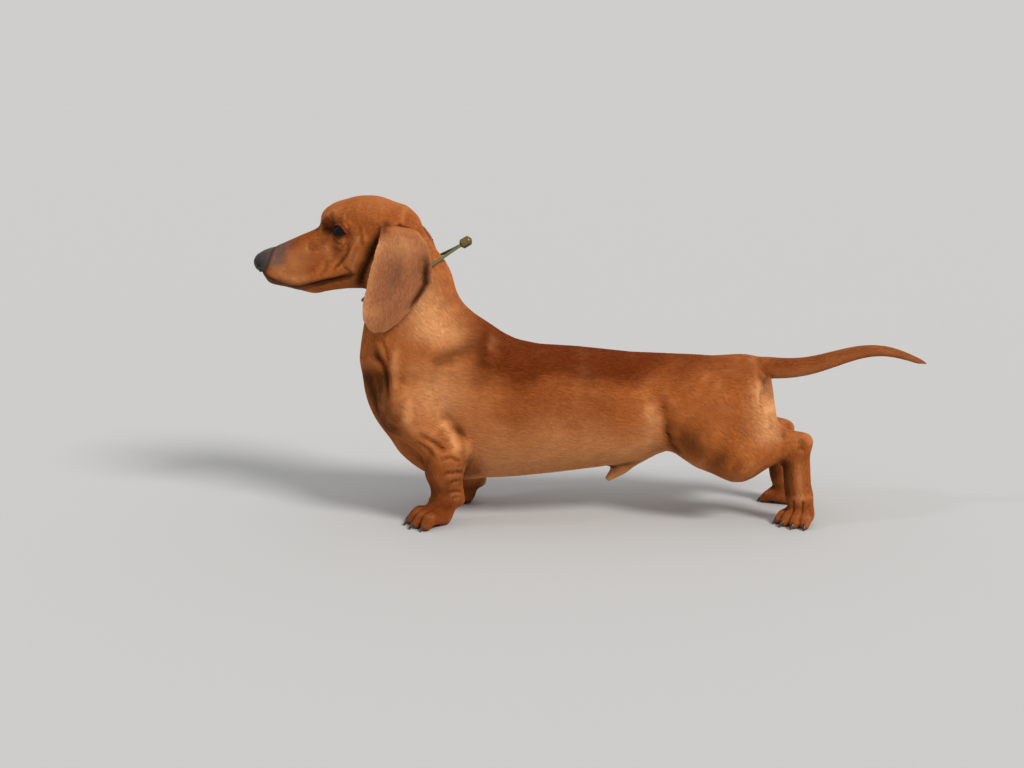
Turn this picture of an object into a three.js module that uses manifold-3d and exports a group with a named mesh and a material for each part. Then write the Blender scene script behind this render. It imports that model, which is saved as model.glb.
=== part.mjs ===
// A smooth-haired red dachshund in show stance, life size: a still figure that stands on its four paws.
// Millimetres, +Z up. The head points to -X and the left side faces -Y.
// In the source x = 0 is under the withers. The finished group is moved so that its origin is
// the middle of the floor under it.
// The flesh is one smooth body of rounded masses. It is meshed region by region, thinned where it is
// flat, and parted along thin seams into the parts that a person would name.
import * as THREE from "three";
import { mergeVertices } from "three/addons/utils/BufferGeometryUtils.js";
import Module from "manifold-3d";

// ---------- driving dimensions, mm
const SEAM = 0.3; // gap between neighbouring pieces
const SOLE = 2.2; // how far the pads are pressed flat on the floor
const LEFT = -1; // sign of y on the dog's left side
const RIGHT = 1;

// Trunk: station x, back height, underline height, half width, how much wider it is above than below
const TRUNK = [
  [-105, 212, 84, 44, 0.1],
  [-60, 221, 54, 60, 0.1],
  [-8, 222, 45, 69, 0.1],
  [45, 207, 48, 71, 0.08],
  [105, 202, 55, 69, 0.06],
  [165, 196, 64, 61, 0.04],
  [215, 194, 80, 53, 0],
  [265, 191, 100, 46, 0],
  [300, 185, 112, 36, 0],
];
// Neck: station z, throat x, nape x, half width, how much wider it is at the nape than at the throat
const NECK = [
  [190, -145, 6, 60, 0],
  [226, -147, -12, 54, 0],
  [257, -146, -36, 49, 0.05],
  [298, -140, -50, 44, 0.1],
  [330, -136, -75, 40, 0.1],
];
// Head: station x, top, underside, half width, how much wider it is above than below
const HEAD = [
  [-262, 313, 287, 14.5, 0],
  [-245, 320, 279, 17.5, -0.05],
  [-222, 331, 272, 20.5, -0.05],
  [-205, 339, 271, 23.5, 0],
  [-193, 350, 272, 27, 0.1],
  [-180, 367, 275, 31, 0.2],
  [-165, 376, 278, 36, 0.28],
  [-146, 379.5, 282, 40, 0.3],
  [-124, 377, 286, 41, 0.3],
  [-102, 365.5, 292, 36, 0.25],
];
const EYE_RADIUS = 10.5;
const EYE = [-169.5, 25.5, 339.5]; // centre of an eyeball, y on either side
const EYE_TURN = 52; // degrees from straight ahead to the side
const EYE_LIFT = 6; // degrees up
const LID_OPENING = 21; // corner to corner
const LID_GAPE = 10.5; // upper lid to lower lid
const LID_TILT = 14; // degrees that the rear corner lies lower
const NOSE_CUT = [-255, 310]; // a point of the line where the bare nose meets the muzzle
const NOSE_LEAN = 20; // degrees that this line leans back towards its top
const NOSE_SOLE = 292.5; // height of the lip under the nose
const LIP_LINE = [[-262, 287.5], [-254, 283.5], [-243, 279], [-232, 275.5], [-220, 275], [-207, 278.5],
  [-193, 283], [-180, 286], [-166, 290]];
const EAR_THICKNESS = 3.2;
// The edges of a hanging ear from its root on the skull to its tip, y on either side.
const EAR_FRONT = [[-122, 33, 343], [-124, 45, 348.5], [-127, 53, 334], [-134, 56, 310], [-141, 57, 283],
  [-147, 57, 259], [-147, 56.5, 243], [-141, 55.5, 231], [-132, 54.5, 225.5]];
const EAR_REAR = [[-90, 29, 338], [-83, 41, 343], [-70, 48, 327], [-65, 51, 305], [-66, 52, 284],
  [-78, 53, 267], [-91, 54, 251], [-106, 54.5, 237], [-121, 54, 227]];
const FORELIMB = { elbow: [-50, 60, 88], wrist: [-51, 47, 38], paw: [-65, 50, 14], turn: 24, size: 0.95 };
const HINDLIMB = { hock: [357, 43, 92], ankle: [362, 47, 32], paw: [361, 47, 14], turn: 47, size: 0.82 };
const FAR_FORELIMB_BACK = 24; // the right forepaw stands this far behind the left one
const FAR_HINDLIMB_FORWARD = 2; // the right hind paw stands this far in front of the left one
const FAR_HOCK = [-4, 0, -3]; // and its hock is this much further forward and lower than the left one
const TAIL_LINE = [
  [294, 172],
  [330, 176.5],
  [365, 178],
  [400, 186],
  [434, 195],
  [458, 197.5],
  [482, 192],
  [513, 181.5],
];
const TAIL_ROOT_RADIUS = 14;
const TAIL_TIP_RADIUS = 2.6;
const COLLAR_CORD = 3.6; // diameter
const COLLAR_NAPE = [-56, 309];
const COLLAR_THROAT = [-142, 262];
const COLLAR_SLIDE = [-28, 326]; // the loop stands off the nape up to here

const rad = THREE.MathUtils.degToRad;

// ---------- the smooth body: each mass is a signed distance with the radius that it blends over
const blend = (a, b, k) => {
  const h = Math.max(k - Math.abs(a - b), 0) / k;
  return Math.min(a, b) - h * h * k * 0.25;
};

// A muscle or bone with round ends, from a to b, with a radius at each; flat squeezes it sideways.
function limb(a, b, ra, rb, k = 14, flat = 1) {
  const ay = a[1] / flat;
  const [dx, dy, dz] = [b[0] - a[0], b[1] / flat - ay, b[2] - a[2]];
  const length2 = dx * dx + dy * dy + dz * dz || 1e-9;
  const most = Math.max(ra, rb);
  const distance = (x, y, z) => {
    const [px, py, pz] = [x - a[0], y / flat - ay, z - a[2]];
    const t = Math.min(1, Math.max(0, (px * dx + py * dy + pz * dz) / length2));
    return (Math.hypot(px - t * dx, py - t * dy, pz - t * dz) - ra - t * (rb - ra)) * Math.min(1, flat);
  };
  const low = [0, 1, 2].map((i) => Math.min(a[i], b[i]) - most);
  const high = [0, 1, 2].map((i) => Math.max(a[i], b[i]) + most);
  return { distance, low, high, k };
}

// An egg-shaped mass: centre, three radii, and a pitch that lowers its front end.
function egg(c, r, pitch = 0, k = 14) {
  const [co, si] = [Math.cos(rad(pitch)), Math.sin(rad(pitch))];
  const distance = (x, y, z) => {
    const [px, py, pz] = [x - c[0], y - c[1], z - c[2]];
    const [ex, ey, ez] = [(px * co - pz * si) / r[0], py / r[1], (px * si + pz * co) / r[2]];
    const inner = Math.hypot(ex, ey, ez);
    const slope = Math.hypot(ex / r[0], ey / r[1], ez / r[2]) || 1e-9;
    return (inner * (inner - 1)) / slope;
  };
  const most = Math.max(...r);
  return { distance, low: c.map((v) => v - most), high: c.map((v) => v + most), k };
}

// A long body given by stations along an axis: along x the two edges are heights, along z they are x.
function column(stations, along, k = 20) {
  const at = (s) => {
    let i = 0;
    while (i < stations.length - 2 && s > stations[i + 1][0]) i++;
    const [p, q] = [stations[i], stations[i + 1]];
    const before = stations[Math.max(0, i - 1)];
    const after = stations[Math.min(stations.length - 1, i + 2)];
    const span = q[0] - p[0];
    const t = Math.min(1, Math.max(0, (s - p[0]) / span));
    const value = (n) => {
      const m0 = ((q[n] - before[n]) / (q[0] - before[0])) * span;
      const m1 = ((after[n] - p[n]) / (after[0] - p[0])) * span;
      const [t2, t3] = [t * t, t * t * t];
      return (
        (2 * t3 - 3 * t2 + 1) * p[n] + (t3 - 2 * t2 + t) * m0 + (3 * t2 - 2 * t3) * q[n] + (t3 - t2) * m1
      );
    };
    return [value(1), value(2), value(3), value(4)];
  };
  const [first, last] = [stations[0][0], stations[stations.length - 1][0]];
  const distance = (x, y, z) => {
    const [s, e] = along === "x" ? [x, z] : [z, x];
    const [edgeA, edgeB, half, wider] = at(s);
    const middle = (edgeA + edgeB) / 2;
    const reach = Math.abs(edgeA - edgeB) / 2;
    const up = (e - middle) / reach;
    const width = half * (1 + wider * Math.max(-1, Math.min(1, up)));
    const q = Math.hypot(y / width, up);
    const side = (q - 1) * Math.min(width, reach);
    const past = Math.max(first - s, s - last);
    return past > 0 ? Math.hypot(Math.max(side, 0), past) : side;
  };
  const edges = stations.flatMap((p) => [p[1], p[2]]);
  const width = Math.max(...stations.map((p) => p[3])) * 1.3;
  const [lowE, highE] = [Math.min(...edges), Math.max(...edges)];
  return along === "x"
    ? { distance, low: [first, -width, lowE], high: [last, width, highE], k }
    : { distance, low: [lowE, -width, first], high: [highE, width, last], k };
}

// ---------- masses of the flesh
const onSide = (side, p) => [p[0], side * p[1], p[2]];
const moved = (p, dx) => [p[0] + dx, p[1], p[2]];

function trunkMasses() {
  return [
    column(TRUNK, "x", 26),
    egg([-86, 0, 164], [66, 50, 84], -6, 30), // forechest
    egg([-46, 0, 92], [54, 40, 43], -14, 24), // brisket between the forelegs
    egg([296, 0, 150], [32, 40, 36], 0, 24), // rump
    limb([188, 0, 76], [156, 0, 57], 6, 8.5, 10), // sheath
    limb([156, 0, 57], [139, 0, 43], 8.5, 6, 6),
    egg([306, 0, 104], [14, 14, 17], 10, 14),
  ];
}

function neckMasses() {
  return [column(NECK, "z", 30), limb([-70, 0, 215], [-20, 0, 205], 24, 16, 26)];
}

function headMasses() {
  const both = [LEFT, RIGHT].flatMap((side) => [
    egg([-180, side * 16, 356], [15, 12, 13], -14, 16), // brow
    egg([-143, side * 31, 312], [27, 13, 25], -20, 14), // cheek
    limb([-168, side * 31, 327], [-122, side * 39, 334], 6.5, 7, 10), // cheek arch
    limb([-254, side * 9, 292], [-226, side * 13, 286], 8.5, 12, 8), // upper lip
    limb([-226, side * 13, 286], [-197, side * 19, 289], 12, 10.5, 8),
    limb([-197, side * 19, 289], [-178, side * 25, 297], 10.5, 9, 10),
    limb([-250, side * 6, 306], [-205, side * 13, 322], 9, 13, 12), // side of the nose bridge
    egg([-170, side * 25, 340], [13.5, 13.5, 12.5], 0, 7), // the lids over the eyeball
    limb([-205, side * 10, 281], [-150, side * 24, 288], 10, 13, 14), // jaw
  ]);
  return [
    column(HEAD, "x", 14),
    egg([-264, 0, 302], [12.5, 14, 12], -20, 9), // nose
    limb([-254, 0, 284], [-205, 0, 279], 8.5, 11, 8), // chin
    egg([-101, 0, 340], [21, 29, 23], 20, 20), // back of the skull
    ...both,
  ];
}

// The toes of a paw, which fan out from its middle, each with a knuckle and a claw.
function toes(paw, side, turn, size) {
  const spread = [-27, -9, 9, 27];
  return spread.map((angle, i) => {
    const way = rad(turn + angle * 0.8);
    const out = rad(turn + 90);
    const row = (i - 1.5) * 9.2 * size;
    const inner = i === 1 || i === 2 ? 1 : 0.84; // the middle toes are longer
    const at = (forward, z) => [
      paw[0] - (Math.cos(way) * forward * inner + Math.cos(out) * row) * 1,
      paw[1] + side * (Math.sin(way) * forward * inner + Math.sin(out) * row),
      z * size - SOLE,
    ];
    return {
      base: at(2 * size, 14),
      knuckle: at(19 * size, 14.5),
      tip: at(28.5 * size, 8),
      clawRoot: at(32 * size, 8.6),
      clawTip: at(39 * size, 2.4),
      radius: 7.8 * size,
    };
  });
}

function pawMasses(paw, side, turn, size) {
  const fan = toes(paw, side, turn, size);
  const behind = [paw[0] + Math.cos(rad(turn)) * 6, paw[1] - side * Math.sin(rad(turn)) * 6, 11 * size - SOLE];
  return [
    egg([paw[0], paw[1], 13 * size], [20 * size, 19 * size, 12 * size], 0, 8),
    egg(behind, [13 * size, 14 * size, 11 * size], 0, 6), // main pad
    ...fan.flatMap((t) => [
      limb(t.base, t.knuckle, t.radius * 1.05, t.radius, 3.5),
      limb(t.knuckle, t.tip, t.radius, t.radius * 0.86, 2.5),
    ]),
  ];
}

function foreMasses(side, back) {
  const at = (p) => onSide(side, p);
  const [elbow, wrist, paw] = [
    moved(at(FORELIMB.elbow), back * 0.45),
    moved(at(FORELIMB.wrist), back),
    moved(at(FORELIMB.paw), back),
  ];
  const mid = moved(at([-55, 55, 66]), back * 0.75);
  const instep = [paw[0] + 6, paw[1] - side * 3, 20];
  return {
    shoulder: [
      limb(at([-14, 36, 200]), at([-98, 45, 140]), 17, 26, 22, 0.8), // shoulder blade
      limb(at([-98, 47, 138]), moved(elbow, -4), 26, 20, 18), // upper arm
    ],
    leg: [
      limb(elbow, mid, 19.5, 20.5, 12),
      limb(mid, wrist, 20.5, 17, 10),
      limb(wrist, instep, 17, 15, 9),
      limb(at([-38 + back * 0.45, 60, 94]), elbow, 12, 16, 12), // point of the elbow
      egg(moved(at([-36, 45, 27]), back), [6, 7, 7], 0, 6), // pad behind the wrist
      ...pawMasses(paw, side, FORELIMB.turn, FORELIMB.size),
    ],
    paw,
  };
}

function hindMasses(side, forward, bend = [0, 0, 0]) {
  const at = (p) => onSide(side, p);
  const [hock, ankle, paw] = [
    moved(at(HINDLIMB.hock.map((v, i) => v + bend[i])), -forward),
    moved(at(HINDLIMB.ankle), -forward),
    moved(at(HINDLIMB.paw), -forward),
  ];
  const instep = [paw[0] + 2, paw[1], 19];
  return {
    thigh: [
      egg(at([264, 38, 121]), [65, 28, 59], 0, 20),
      limb(at([302, 33, 152]), at([308, 38, 112]), 21, 22, 14), // buttock
    ],
    leg: [
      limb(at([257, 47, 93]), at([286, 48, 80]), 27, 26, 14), // stifle and calf
      limb(at([286, 48, 80]), moved(hock, -8), 26, 12.5, 16),
      limb(at([312, 42, 106]), [hock[0] + 8, hock[1], hock[2] + 5.5], 13, 8.5, 12), // heel tendon
      limb(hock, [hock[0] + 6, hock[1], hock[2] + 6], 12.5, 9.5, 6), // point of the hock
      limb(hock, ankle, 13, 12, 8),
      limb(moved(hock, -9), moved(ankle, -8), 11, 12, 8), // front of the rear pastern
      limb(ankle, instep, 12.5, 13.5, 8),
      ...pawMasses(paw, side, HINDLIMB.turn, HINDLIMB.size),
    ],
    paw,
  };
}

const tailCurve = new THREE.CatmullRomCurve3(TAIL_LINE.map(([x, z]) => new THREE.Vector3(x, 0, z)));
function tailMasses() {
  const steps = 14;
  const points = tailCurve.getSpacedPoints(steps).map((p) => [p.x, p.y, p.z]);
  const radius = (i) => TAIL_TIP_RADIUS + (TAIL_ROOT_RADIUS - TAIL_TIP_RADIUS) * (1 - i / steps) ** 0.8;
  return points.slice(1).map((p, i) => limb(points[i], p, radius(i), radius(i + 1), i ? 4 : 16));
}

const foreLeft = foreMasses(LEFT, 0);
const foreRight = foreMasses(RIGHT, FAR_FORELIMB_BACK);
const hindLeft = hindMasses(LEFT, 0);
const hindRight = hindMasses(RIGHT, FAR_HINDLIMB_FORWARD, FAR_HOCK);
const FLESH = [
  ...trunkMasses(),
  ...neckMasses(),
  ...headMasses(),
  ...[foreLeft, foreRight].flatMap((m) => [...m.shoulder, ...m.leg]),
  ...[hindLeft, hindRight].flatMap((m) => [...m.thigh, ...m.leg]),
  ...tailMasses(),
];
// Hollows that are pressed into the flesh, each with the radius of its soft edge.
const HOLLOWS = [LEFT, RIGHT].flatMap((side) => [
  { ...egg([-200, side * 24, 333], [14, 7, 11], -20), k: 8 }, // in front of the eye
  { ...egg([-150, side * 47, 344], [22, 6, 12], 0), k: 8 }, // temple
]);

// The masses that reach into a box, as one signed distance.
function bodyIn(low, high) {
  const near = (m) => [0, 1, 2].every((i) => m.low[i] - m.k < high[i] && m.high[i] + m.k > low[i]);
  const masses = FLESH.filter(near);
  const hollows = HOLLOWS.filter(near);
  return (x, y, z) => {
    let d = 1e3;
    for (const m of masses) d = blend(d, m.distance(x, y, z), m.k);
    for (const h of hollows) d = -blend(-d, h.distance(x, y, z), h.k);
    return d;
  };
}

// ---------- meshing: the surface of a signed distance in a box, by tetrahedra in cubic cells
const TETRAHEDRA = [[0, 1, 3, 7], [0, 3, 2, 7], [0, 2, 6, 7], [0, 6, 4, 7], [0, 4, 5, 7], [0, 5, 1, 7]];
const TURNED = [[0, 1, 2, 3], [1, 0, 3, 2], [2, 3, 0, 1], [3, 2, 1, 0]]; // each corner first
const PAIRS = { 3: [0, 1, 2, 3], 5: [0, 2, 3, 1], 9: [0, 3, 1, 2], 6: [1, 2, 0, 3], 10: [1, 3, 2, 0], 12: [2, 3, 0, 1] };

function surface(distance, low, high, cell) {
  const n = [0, 1, 2].map((i) => Math.ceil((high[i] - low[i]) / cell) + 1);
  const values = new Float64Array(n[0] * n[1] * n[2]);
  const place = (i, j, k) => [low[0] + i * cell, low[1] + j * cell, low[2] + k * cell];
  const index = (i, j, k) => (k * n[1] + j) * n[0] + i;
  for (let k = 0; k < n[2]; k++)
    for (let j = 0; j < n[1]; j++)
      for (let i = 0; i < n[0]; i++) {
        const rim = !i || !j || !k || i === n[0] - 1 || j === n[1] - 1 || k === n[2] - 1;
        const d = distance(...place(i, j, k));
        values[index(i, j, k)] = rim ? Math.max(d, cell * 0.5) : d === 0 ? 1e-6 : d;
      }
  const points = [];
  const faces = [];
  const made = new Map();
  const crossing = (a, b) => {
    const [p, q] = a.id < b.id ? [a, b] : [b, a];
    const key = p.id * 8 + (a.bits ^ b.bits);
    if (!made.has(key)) {
      const t = Math.min(0.97, Math.max(0.03, p.v / (p.v - q.v)));
      points.push(...[0, 1, 2].map((c) => p.at[c] + (q.at[c] - p.at[c]) * t));
      made.set(key, points.length / 3 - 1);
    }
    return made.get(key);
  };
  for (let k = 0; k < n[2] - 1; k++)
    for (let j = 0; j < n[1] - 1; j++)
      for (let i = 0; i < n[0] - 1; i++) {
        let inside = 0;
        for (let c = 0; c < 8; c++)
          if (values[index(i + (c & 1), j + ((c >> 1) & 1), k + (c >> 2))] < 0) inside++;
        if (inside === 0 || inside === 8) continue;
        const corner = [0, 1, 2, 3, 4, 5, 6, 7].map((bits) => {
          const spot = [i + (bits & 1), j + ((bits >> 1) & 1), k + (bits >> 2)];
          const id = index(...spot);
          return { bits, id, v: values[id], at: place(...spot) };
        });
        for (const tet of TETRAHEDRA) {
          const t = tet.map((c) => corner[c]);
          const mask = t.reduce((m, c, b) => m | (c.v < 0 ? 1 << b : 0), 0);
          if (mask === 0 || mask === 15) continue;
          const few = [1, 2, 4, 8].indexOf(mask);
          const many = [14, 13, 11, 7].indexOf(mask);
          if (few >= 0 || many >= 0) {
            const [a, b, c, d] = TURNED[few >= 0 ? few : many].map((v) => t[v]);
            const face = [crossing(a, b), crossing(a, c), crossing(a, d)];
            faces.push(...(few >= 0 ? face : face.reverse()));
          } else {
            const [a, b, c, d] = PAIRS[mask].map((v) => t[v]);
            const quad = [crossing(a, c), crossing(a, d), crossing(b, d), crossing(b, c)];
            faces.push(quad[0], quad[1], quad[2], quad[0], quad[2], quad[3]);
          }
        }
      }
  return { points, faces };
}

// ---------- thinning: edges collapse in the order of least change until few enough faces are left
function thinned({ points, faces }, wanted) {
  const count = points.length / 3;
  const quadric = Array.from({ length: count }, () => new Float64Array(10));
  const around = Array.from({ length: count }, () => new Set());
  const corners = [];
  const spot = (v) => [points[v * 3], points[v * 3 + 1], points[v * 3 + 2]];
  const normal = (p, q, r) => {
    const [ux, uy, uz] = [q[0] - p[0], q[1] - p[1], q[2] - p[2]];
    const [vx, vy, vz] = [r[0] - p[0], r[1] - p[1], r[2] - p[2]];
    return [uy * vz - uz * vy, uz * vx - ux * vz, ux * vy - uy * vx];
  };
  for (let f = 0; f < faces.length; f += 3) {
    const face = [faces[f], faces[f + 1], faces[f + 2]];
    corners.push(face);
    const [p, q, r] = face.map(spot);
    const m = normal(p, q, r);
    const size = Math.hypot(...m) || 1e-12;
    const [a, b, c] = m.map((v) => v / size);
    const d = -(a * p[0] + b * p[1] + c * p[2]);
    const terms = [a * a, a * b, a * c, a * d, b * b, b * c, b * d, c * c, c * d, d * d];
    for (const v of face) {
      around[v].add(corners.length - 1);
      terms.forEach((t, i) => (quadric[v][i] += t * size));
    }
  }
  const stamp = new Int32Array(count);
  const alive = new Uint8Array(count).fill(1);
  const change = (q, p) =>
    q[0] * p[0] * p[0] + 2 * q[1] * p[0] * p[1] + 2 * q[2] * p[0] * p[2] + 2 * q[3] * p[0] +
    q[4] * p[1] * p[1] + 2 * q[5] * p[1] * p[2] + 2 * q[6] * p[1] + q[7] * p[2] * p[2] + 2 * q[8] * p[2] + q[9];
  const best = (u, v) => {
    const q = quadric[u].map((t, i) => t + quadric[v][i]);
    const [pu, pv] = [spot(u), spot(v)];
    const middle = pu.map((t, i) => (t + pv[i]) / 2);
    const m = new THREE.Matrix3().set(q[0], q[1], q[2], q[1], q[4], q[5], q[2], q[5], q[7]);
    const places = [middle, pu, pv];
    if (Math.abs(m.determinant()) > 1e-3) {
      const s = new THREE.Vector3(-q[3], -q[6], -q[8]).applyMatrix3(m.invert()).toArray();
      const span = Math.hypot(pu[0] - pv[0], pu[1] - pv[1], pu[2] - pv[2]);
      if (Math.hypot(s[0] - middle[0], s[1] - middle[1], s[2] - middle[2]) < span * 1.5) places.unshift(s);
    }
    return places.map((at) => ({ at, cost: change(q, at) })).reduce((x, y) => (y.cost < x.cost ? y : x));
  };
  const heap = [];
  const lift = (item) => {
    let i = heap.push(item) - 1;
    while (i > 0 && heap[(i - 1) >> 1].cost > item.cost) {
      heap[i] = heap[(i - 1) >> 1];
      i = (i - 1) >> 1;
    }
    heap[i] = item;
  };
  const take = () => {
    const top = heap[0];
    const last = heap.pop();
    if (heap.length) {
      let i = 0;
      for (;;) {
        let c = 2 * i + 1;
        if (c >= heap.length) break;
        if (c + 1 < heap.length && heap[c + 1].cost < heap[c].cost) c++;
        if (heap[c].cost >= last.cost) break;
        heap[i] = heap[c];
        i = c;
      }
      heap[i] = last;
    }
    return top;
  };
  const offer = (u, v) => lift({ ...best(u, v), u, v, su: stamp[u], sv: stamp[v] });
  const neighbours = (v) => {
    const found = new Set();
    for (const f of around[v]) for (const c of corners[f]) if (c !== v) found.add(c);
    return found;
  };
  for (const [a, b, c] of corners) for (const [u, v] of [[a, b], [b, c], [c, a]]) if (u < v) offer(u, v);
  let left = corners.length;
  while (left > wanted && heap.length) {
    const { u, v, at, su, sv } = take();
    if (!alive[u] || !alive[v] || stamp[u] !== su || stamp[v] !== sv) continue;
    const nu = neighbours(u);
    const shared = [...neighbours(v)].filter((c) => nu.has(c));
    if (shared.length !== 2) continue;
    const flips = [u, v].some((end) =>
      [...around[end]].some((f) => {
        const face = corners[f];
        if (face.includes(u) && face.includes(v)) return false;
        const old = normal(...face.map(spot));
        const now = normal(...face.map((c) => (c === u || c === v ? at : spot(c))));
        const dot = old[0] * now[0] + old[1] * now[1] + old[2] * now[2];
        return dot < 0.25 * Math.hypot(...old) * Math.hypot(...now);
      }),
    );
    if (flips) continue;
    for (let i = 0; i < 3; i++) points[u * 3 + i] = at[i];
    quadric[v].forEach((t, i) => (quadric[u][i] += t));
    alive[v] = 0;
    for (const f of around[v]) {
      if (corners[f].includes(u)) {
        for (const c of corners[f]) if (c !== v) around[c].delete(f);
        corners[f] = null;
        left--;
      } else {
        corners[f] = corners[f].map((c) => (c === v ? u : c));
        around[u].add(f);
      }
    }
    stamp[u]++;
    for (const c of neighbours(u)) offer(u, c);
  }
  return { points, faces: corners.filter(Boolean).flat() };
}

// ---------- solids
const wasm = await Module();
wasm.setup();

function geometryOf({ points, faces }) {
  return new THREE.BufferGeometry()
    .setAttribute("position", new THREE.Float32BufferAttribute(points, 3))
    .setIndex(faces);
}

function solid(geometry) {
  const bare = geometry.clone();
  for (const name of Object.keys(bare.attributes)) if (name !== "position") bare.deleteAttribute(name);
  const merged = mergeVertices(bare, 1e-4);
  return new wasm.Manifold(
    new wasm.Mesh({
      numProp: 3,
      vertProperties: new Float32Array(merged.attributes.position.array),
      triVerts: new Uint32Array(merged.index.array),
    }),
  );
}

function largest(made) {
  return made.decompose().reduce((a, b) => (b.volume() > a.volume() ? b : a));
}

function backToGeometry(made) {
  const mesh = made.getMesh();
  return geometryOf({ points: Array.from(mesh.vertProperties), faces: Array.from(mesh.triVerts) });
}

// A block between two corners.
function block(low, high) {
  const size = low.map((v, i) => high[i] - v);
  const middle = low.map((v, i) => (v + high[i]) / 2);
  return solid(new THREE.BoxGeometry(...size).translate(...middle));
}

// An outline in the side view, pulled sideways from y0 to y1.
function sideways(outline, y0, y1) {
  const shape = new THREE.Shape(outline.map(([x, z]) => new THREE.Vector2(x, z)));
  const pulled = new THREE.ExtrudeGeometry(shape, { depth: Math.abs(y1 - y0), bevelEnabled: false });
  pulled.rotateX(Math.PI / 2);
  return solid(pulled.translate(0, Math.max(y0, y1), 0));
}

// The door-shaped outline of a limb in the side view: a round top over straight sides down past the floor.
function arch([left, right], top, tilt, grow) {
  const round = 14;
  const half = (right - left) / 2 + grow;
  const middle = (left + right) / 2;
  const rise = half * 1.05;
  const outline = [];
  for (let i = 0; i <= round; i++) {
    const a = (Math.PI * i) / round;
    outline.push([middle + tilt + half * Math.cos(a), top + grow - rise + rise * Math.sin(a)]);
  }
  outline.push([left - grow, -40], [right + grow, -40]);
  return outline;
}

const bodyMesh = (low, high, cell, wanted) =>
  solid(geometryOf(thinned(surface(bodyIn(low, high), low, high, cell), wanted)));

const REACH = 400;
const group = new THREE.Group();
const material = (color, roughness) => new THREE.MeshStandardMaterial({ color, roughness, metalness: 0 });
const coat = material("#a8592b", 0.6);
const earCoat = material("#8f4f33", 0.6);
const noseLeather = material("#2b2022", 0.35);
const eyeGlass = material("#1c0f0a", 0.1);
const cordOlive = material("#5d6030", 0.8);
const brass = material("#b9b2a0", 0.4);

function add(name, made, look) {
  const mesh = new THREE.Mesh(backToGeometry(largest(made)), look);
  mesh.name = name;
  group.add(mesh);
}

// Everything on the side of a plane that its normal points to, from a gap on.
function beyond(point, normal, gap = 0) {
  const way = new THREE.Vector3(...normal).normalize();
  const turn = new THREE.Quaternion().setFromUnitVectors(new THREE.Vector3(0, 0, 1), way);
  const size = 4 * REACH;
  const half = new THREE.BoxGeometry(size, size, size).translate(0, 0, size / 2 + gap);
  return solid(half.applyQuaternion(turn).translate(...point));
}

// A closed tube along points, with a radius at each and round ends.
function tube(points, radius, sides = 8, closed = false) {
  const place = points.map((p) => new THREE.Vector3(...p));
  const count = place.length;
  const rings = [];
  let across = null;
  place.forEach((p, i) => {
    const next = closed ? place[(i + 1) % count] : place[Math.min(count - 1, i + 1)];
    const last = closed ? place[(i + count - 1) % count] : place[Math.max(0, i - 1)];
    const way = next.clone().sub(last).normalize();
    if (!across) across = new THREE.Vector3(0.3, 0.9, 0.31).cross(way).normalize();
    across.sub(way.clone().multiplyScalar(across.dot(way))).normalize();
    const up = way.clone().cross(across);
    const ring = [];
    for (let s = 0; s < sides; s++) {
      const a = (2 * Math.PI * s) / sides;
      const out = across.clone().multiplyScalar(Math.cos(a)).addScaledVector(up, Math.sin(a));
      ring.push(p.clone().addScaledVector(out, radius(i / (closed ? count : count - 1))));
    }
    rings.push(ring);
  });
  const all = rings.flat();
  const faces = [];
  const total = closed ? count : count - 1;
  for (let i = 0; i < total; i++)
    for (let s = 0; s < sides; s++) {
      const [a, b] = [i * sides + s, i * sides + ((s + 1) % sides)];
      const [c, d] = [((i + 1) % count) * sides + s, ((i + 1) % count) * sides + ((s + 1) % sides)];
      faces.push(a, b, d, a, d, c);
    }
  if (!closed) {
    const ends = [place[0].clone(), place[count - 1].clone()];
    ends[0].addScaledVector(place[0].clone().sub(place[1]).normalize(), radius(0) * 0.6);
    ends[1].addScaledVector(place[count - 1].clone().sub(place[count - 2]).normalize(), radius(1) * 0.6);
    const [first, last] = [all.length, all.length + 1];
    all.push(...ends);
    for (let s = 0; s < sides; s++) {
      faces.push(first, (s + 1) % sides, s);
      const ring = (count - 1) * sides;
      faces.push(last, ring + s, ring + ((s + 1) % sides));
    }
  }
  return outward(all.flatMap((p) => p.toArray()), faces);
}

// A solid from points and faces, turned right side out.
function outward(points, faces) {
  let volume = 0;
  for (let f = 0; f < faces.length; f += 3) {
    const [a, b, c] = [0, 1, 2].map((i) => new THREE.Vector3().fromArray(points, faces[f + i] * 3));
    volume += a.dot(b.cross(c));
  }
  return solid(geometryOf({ points, faces: volume < 0 ? faces.slice().reverse() : faces }));
}

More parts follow.
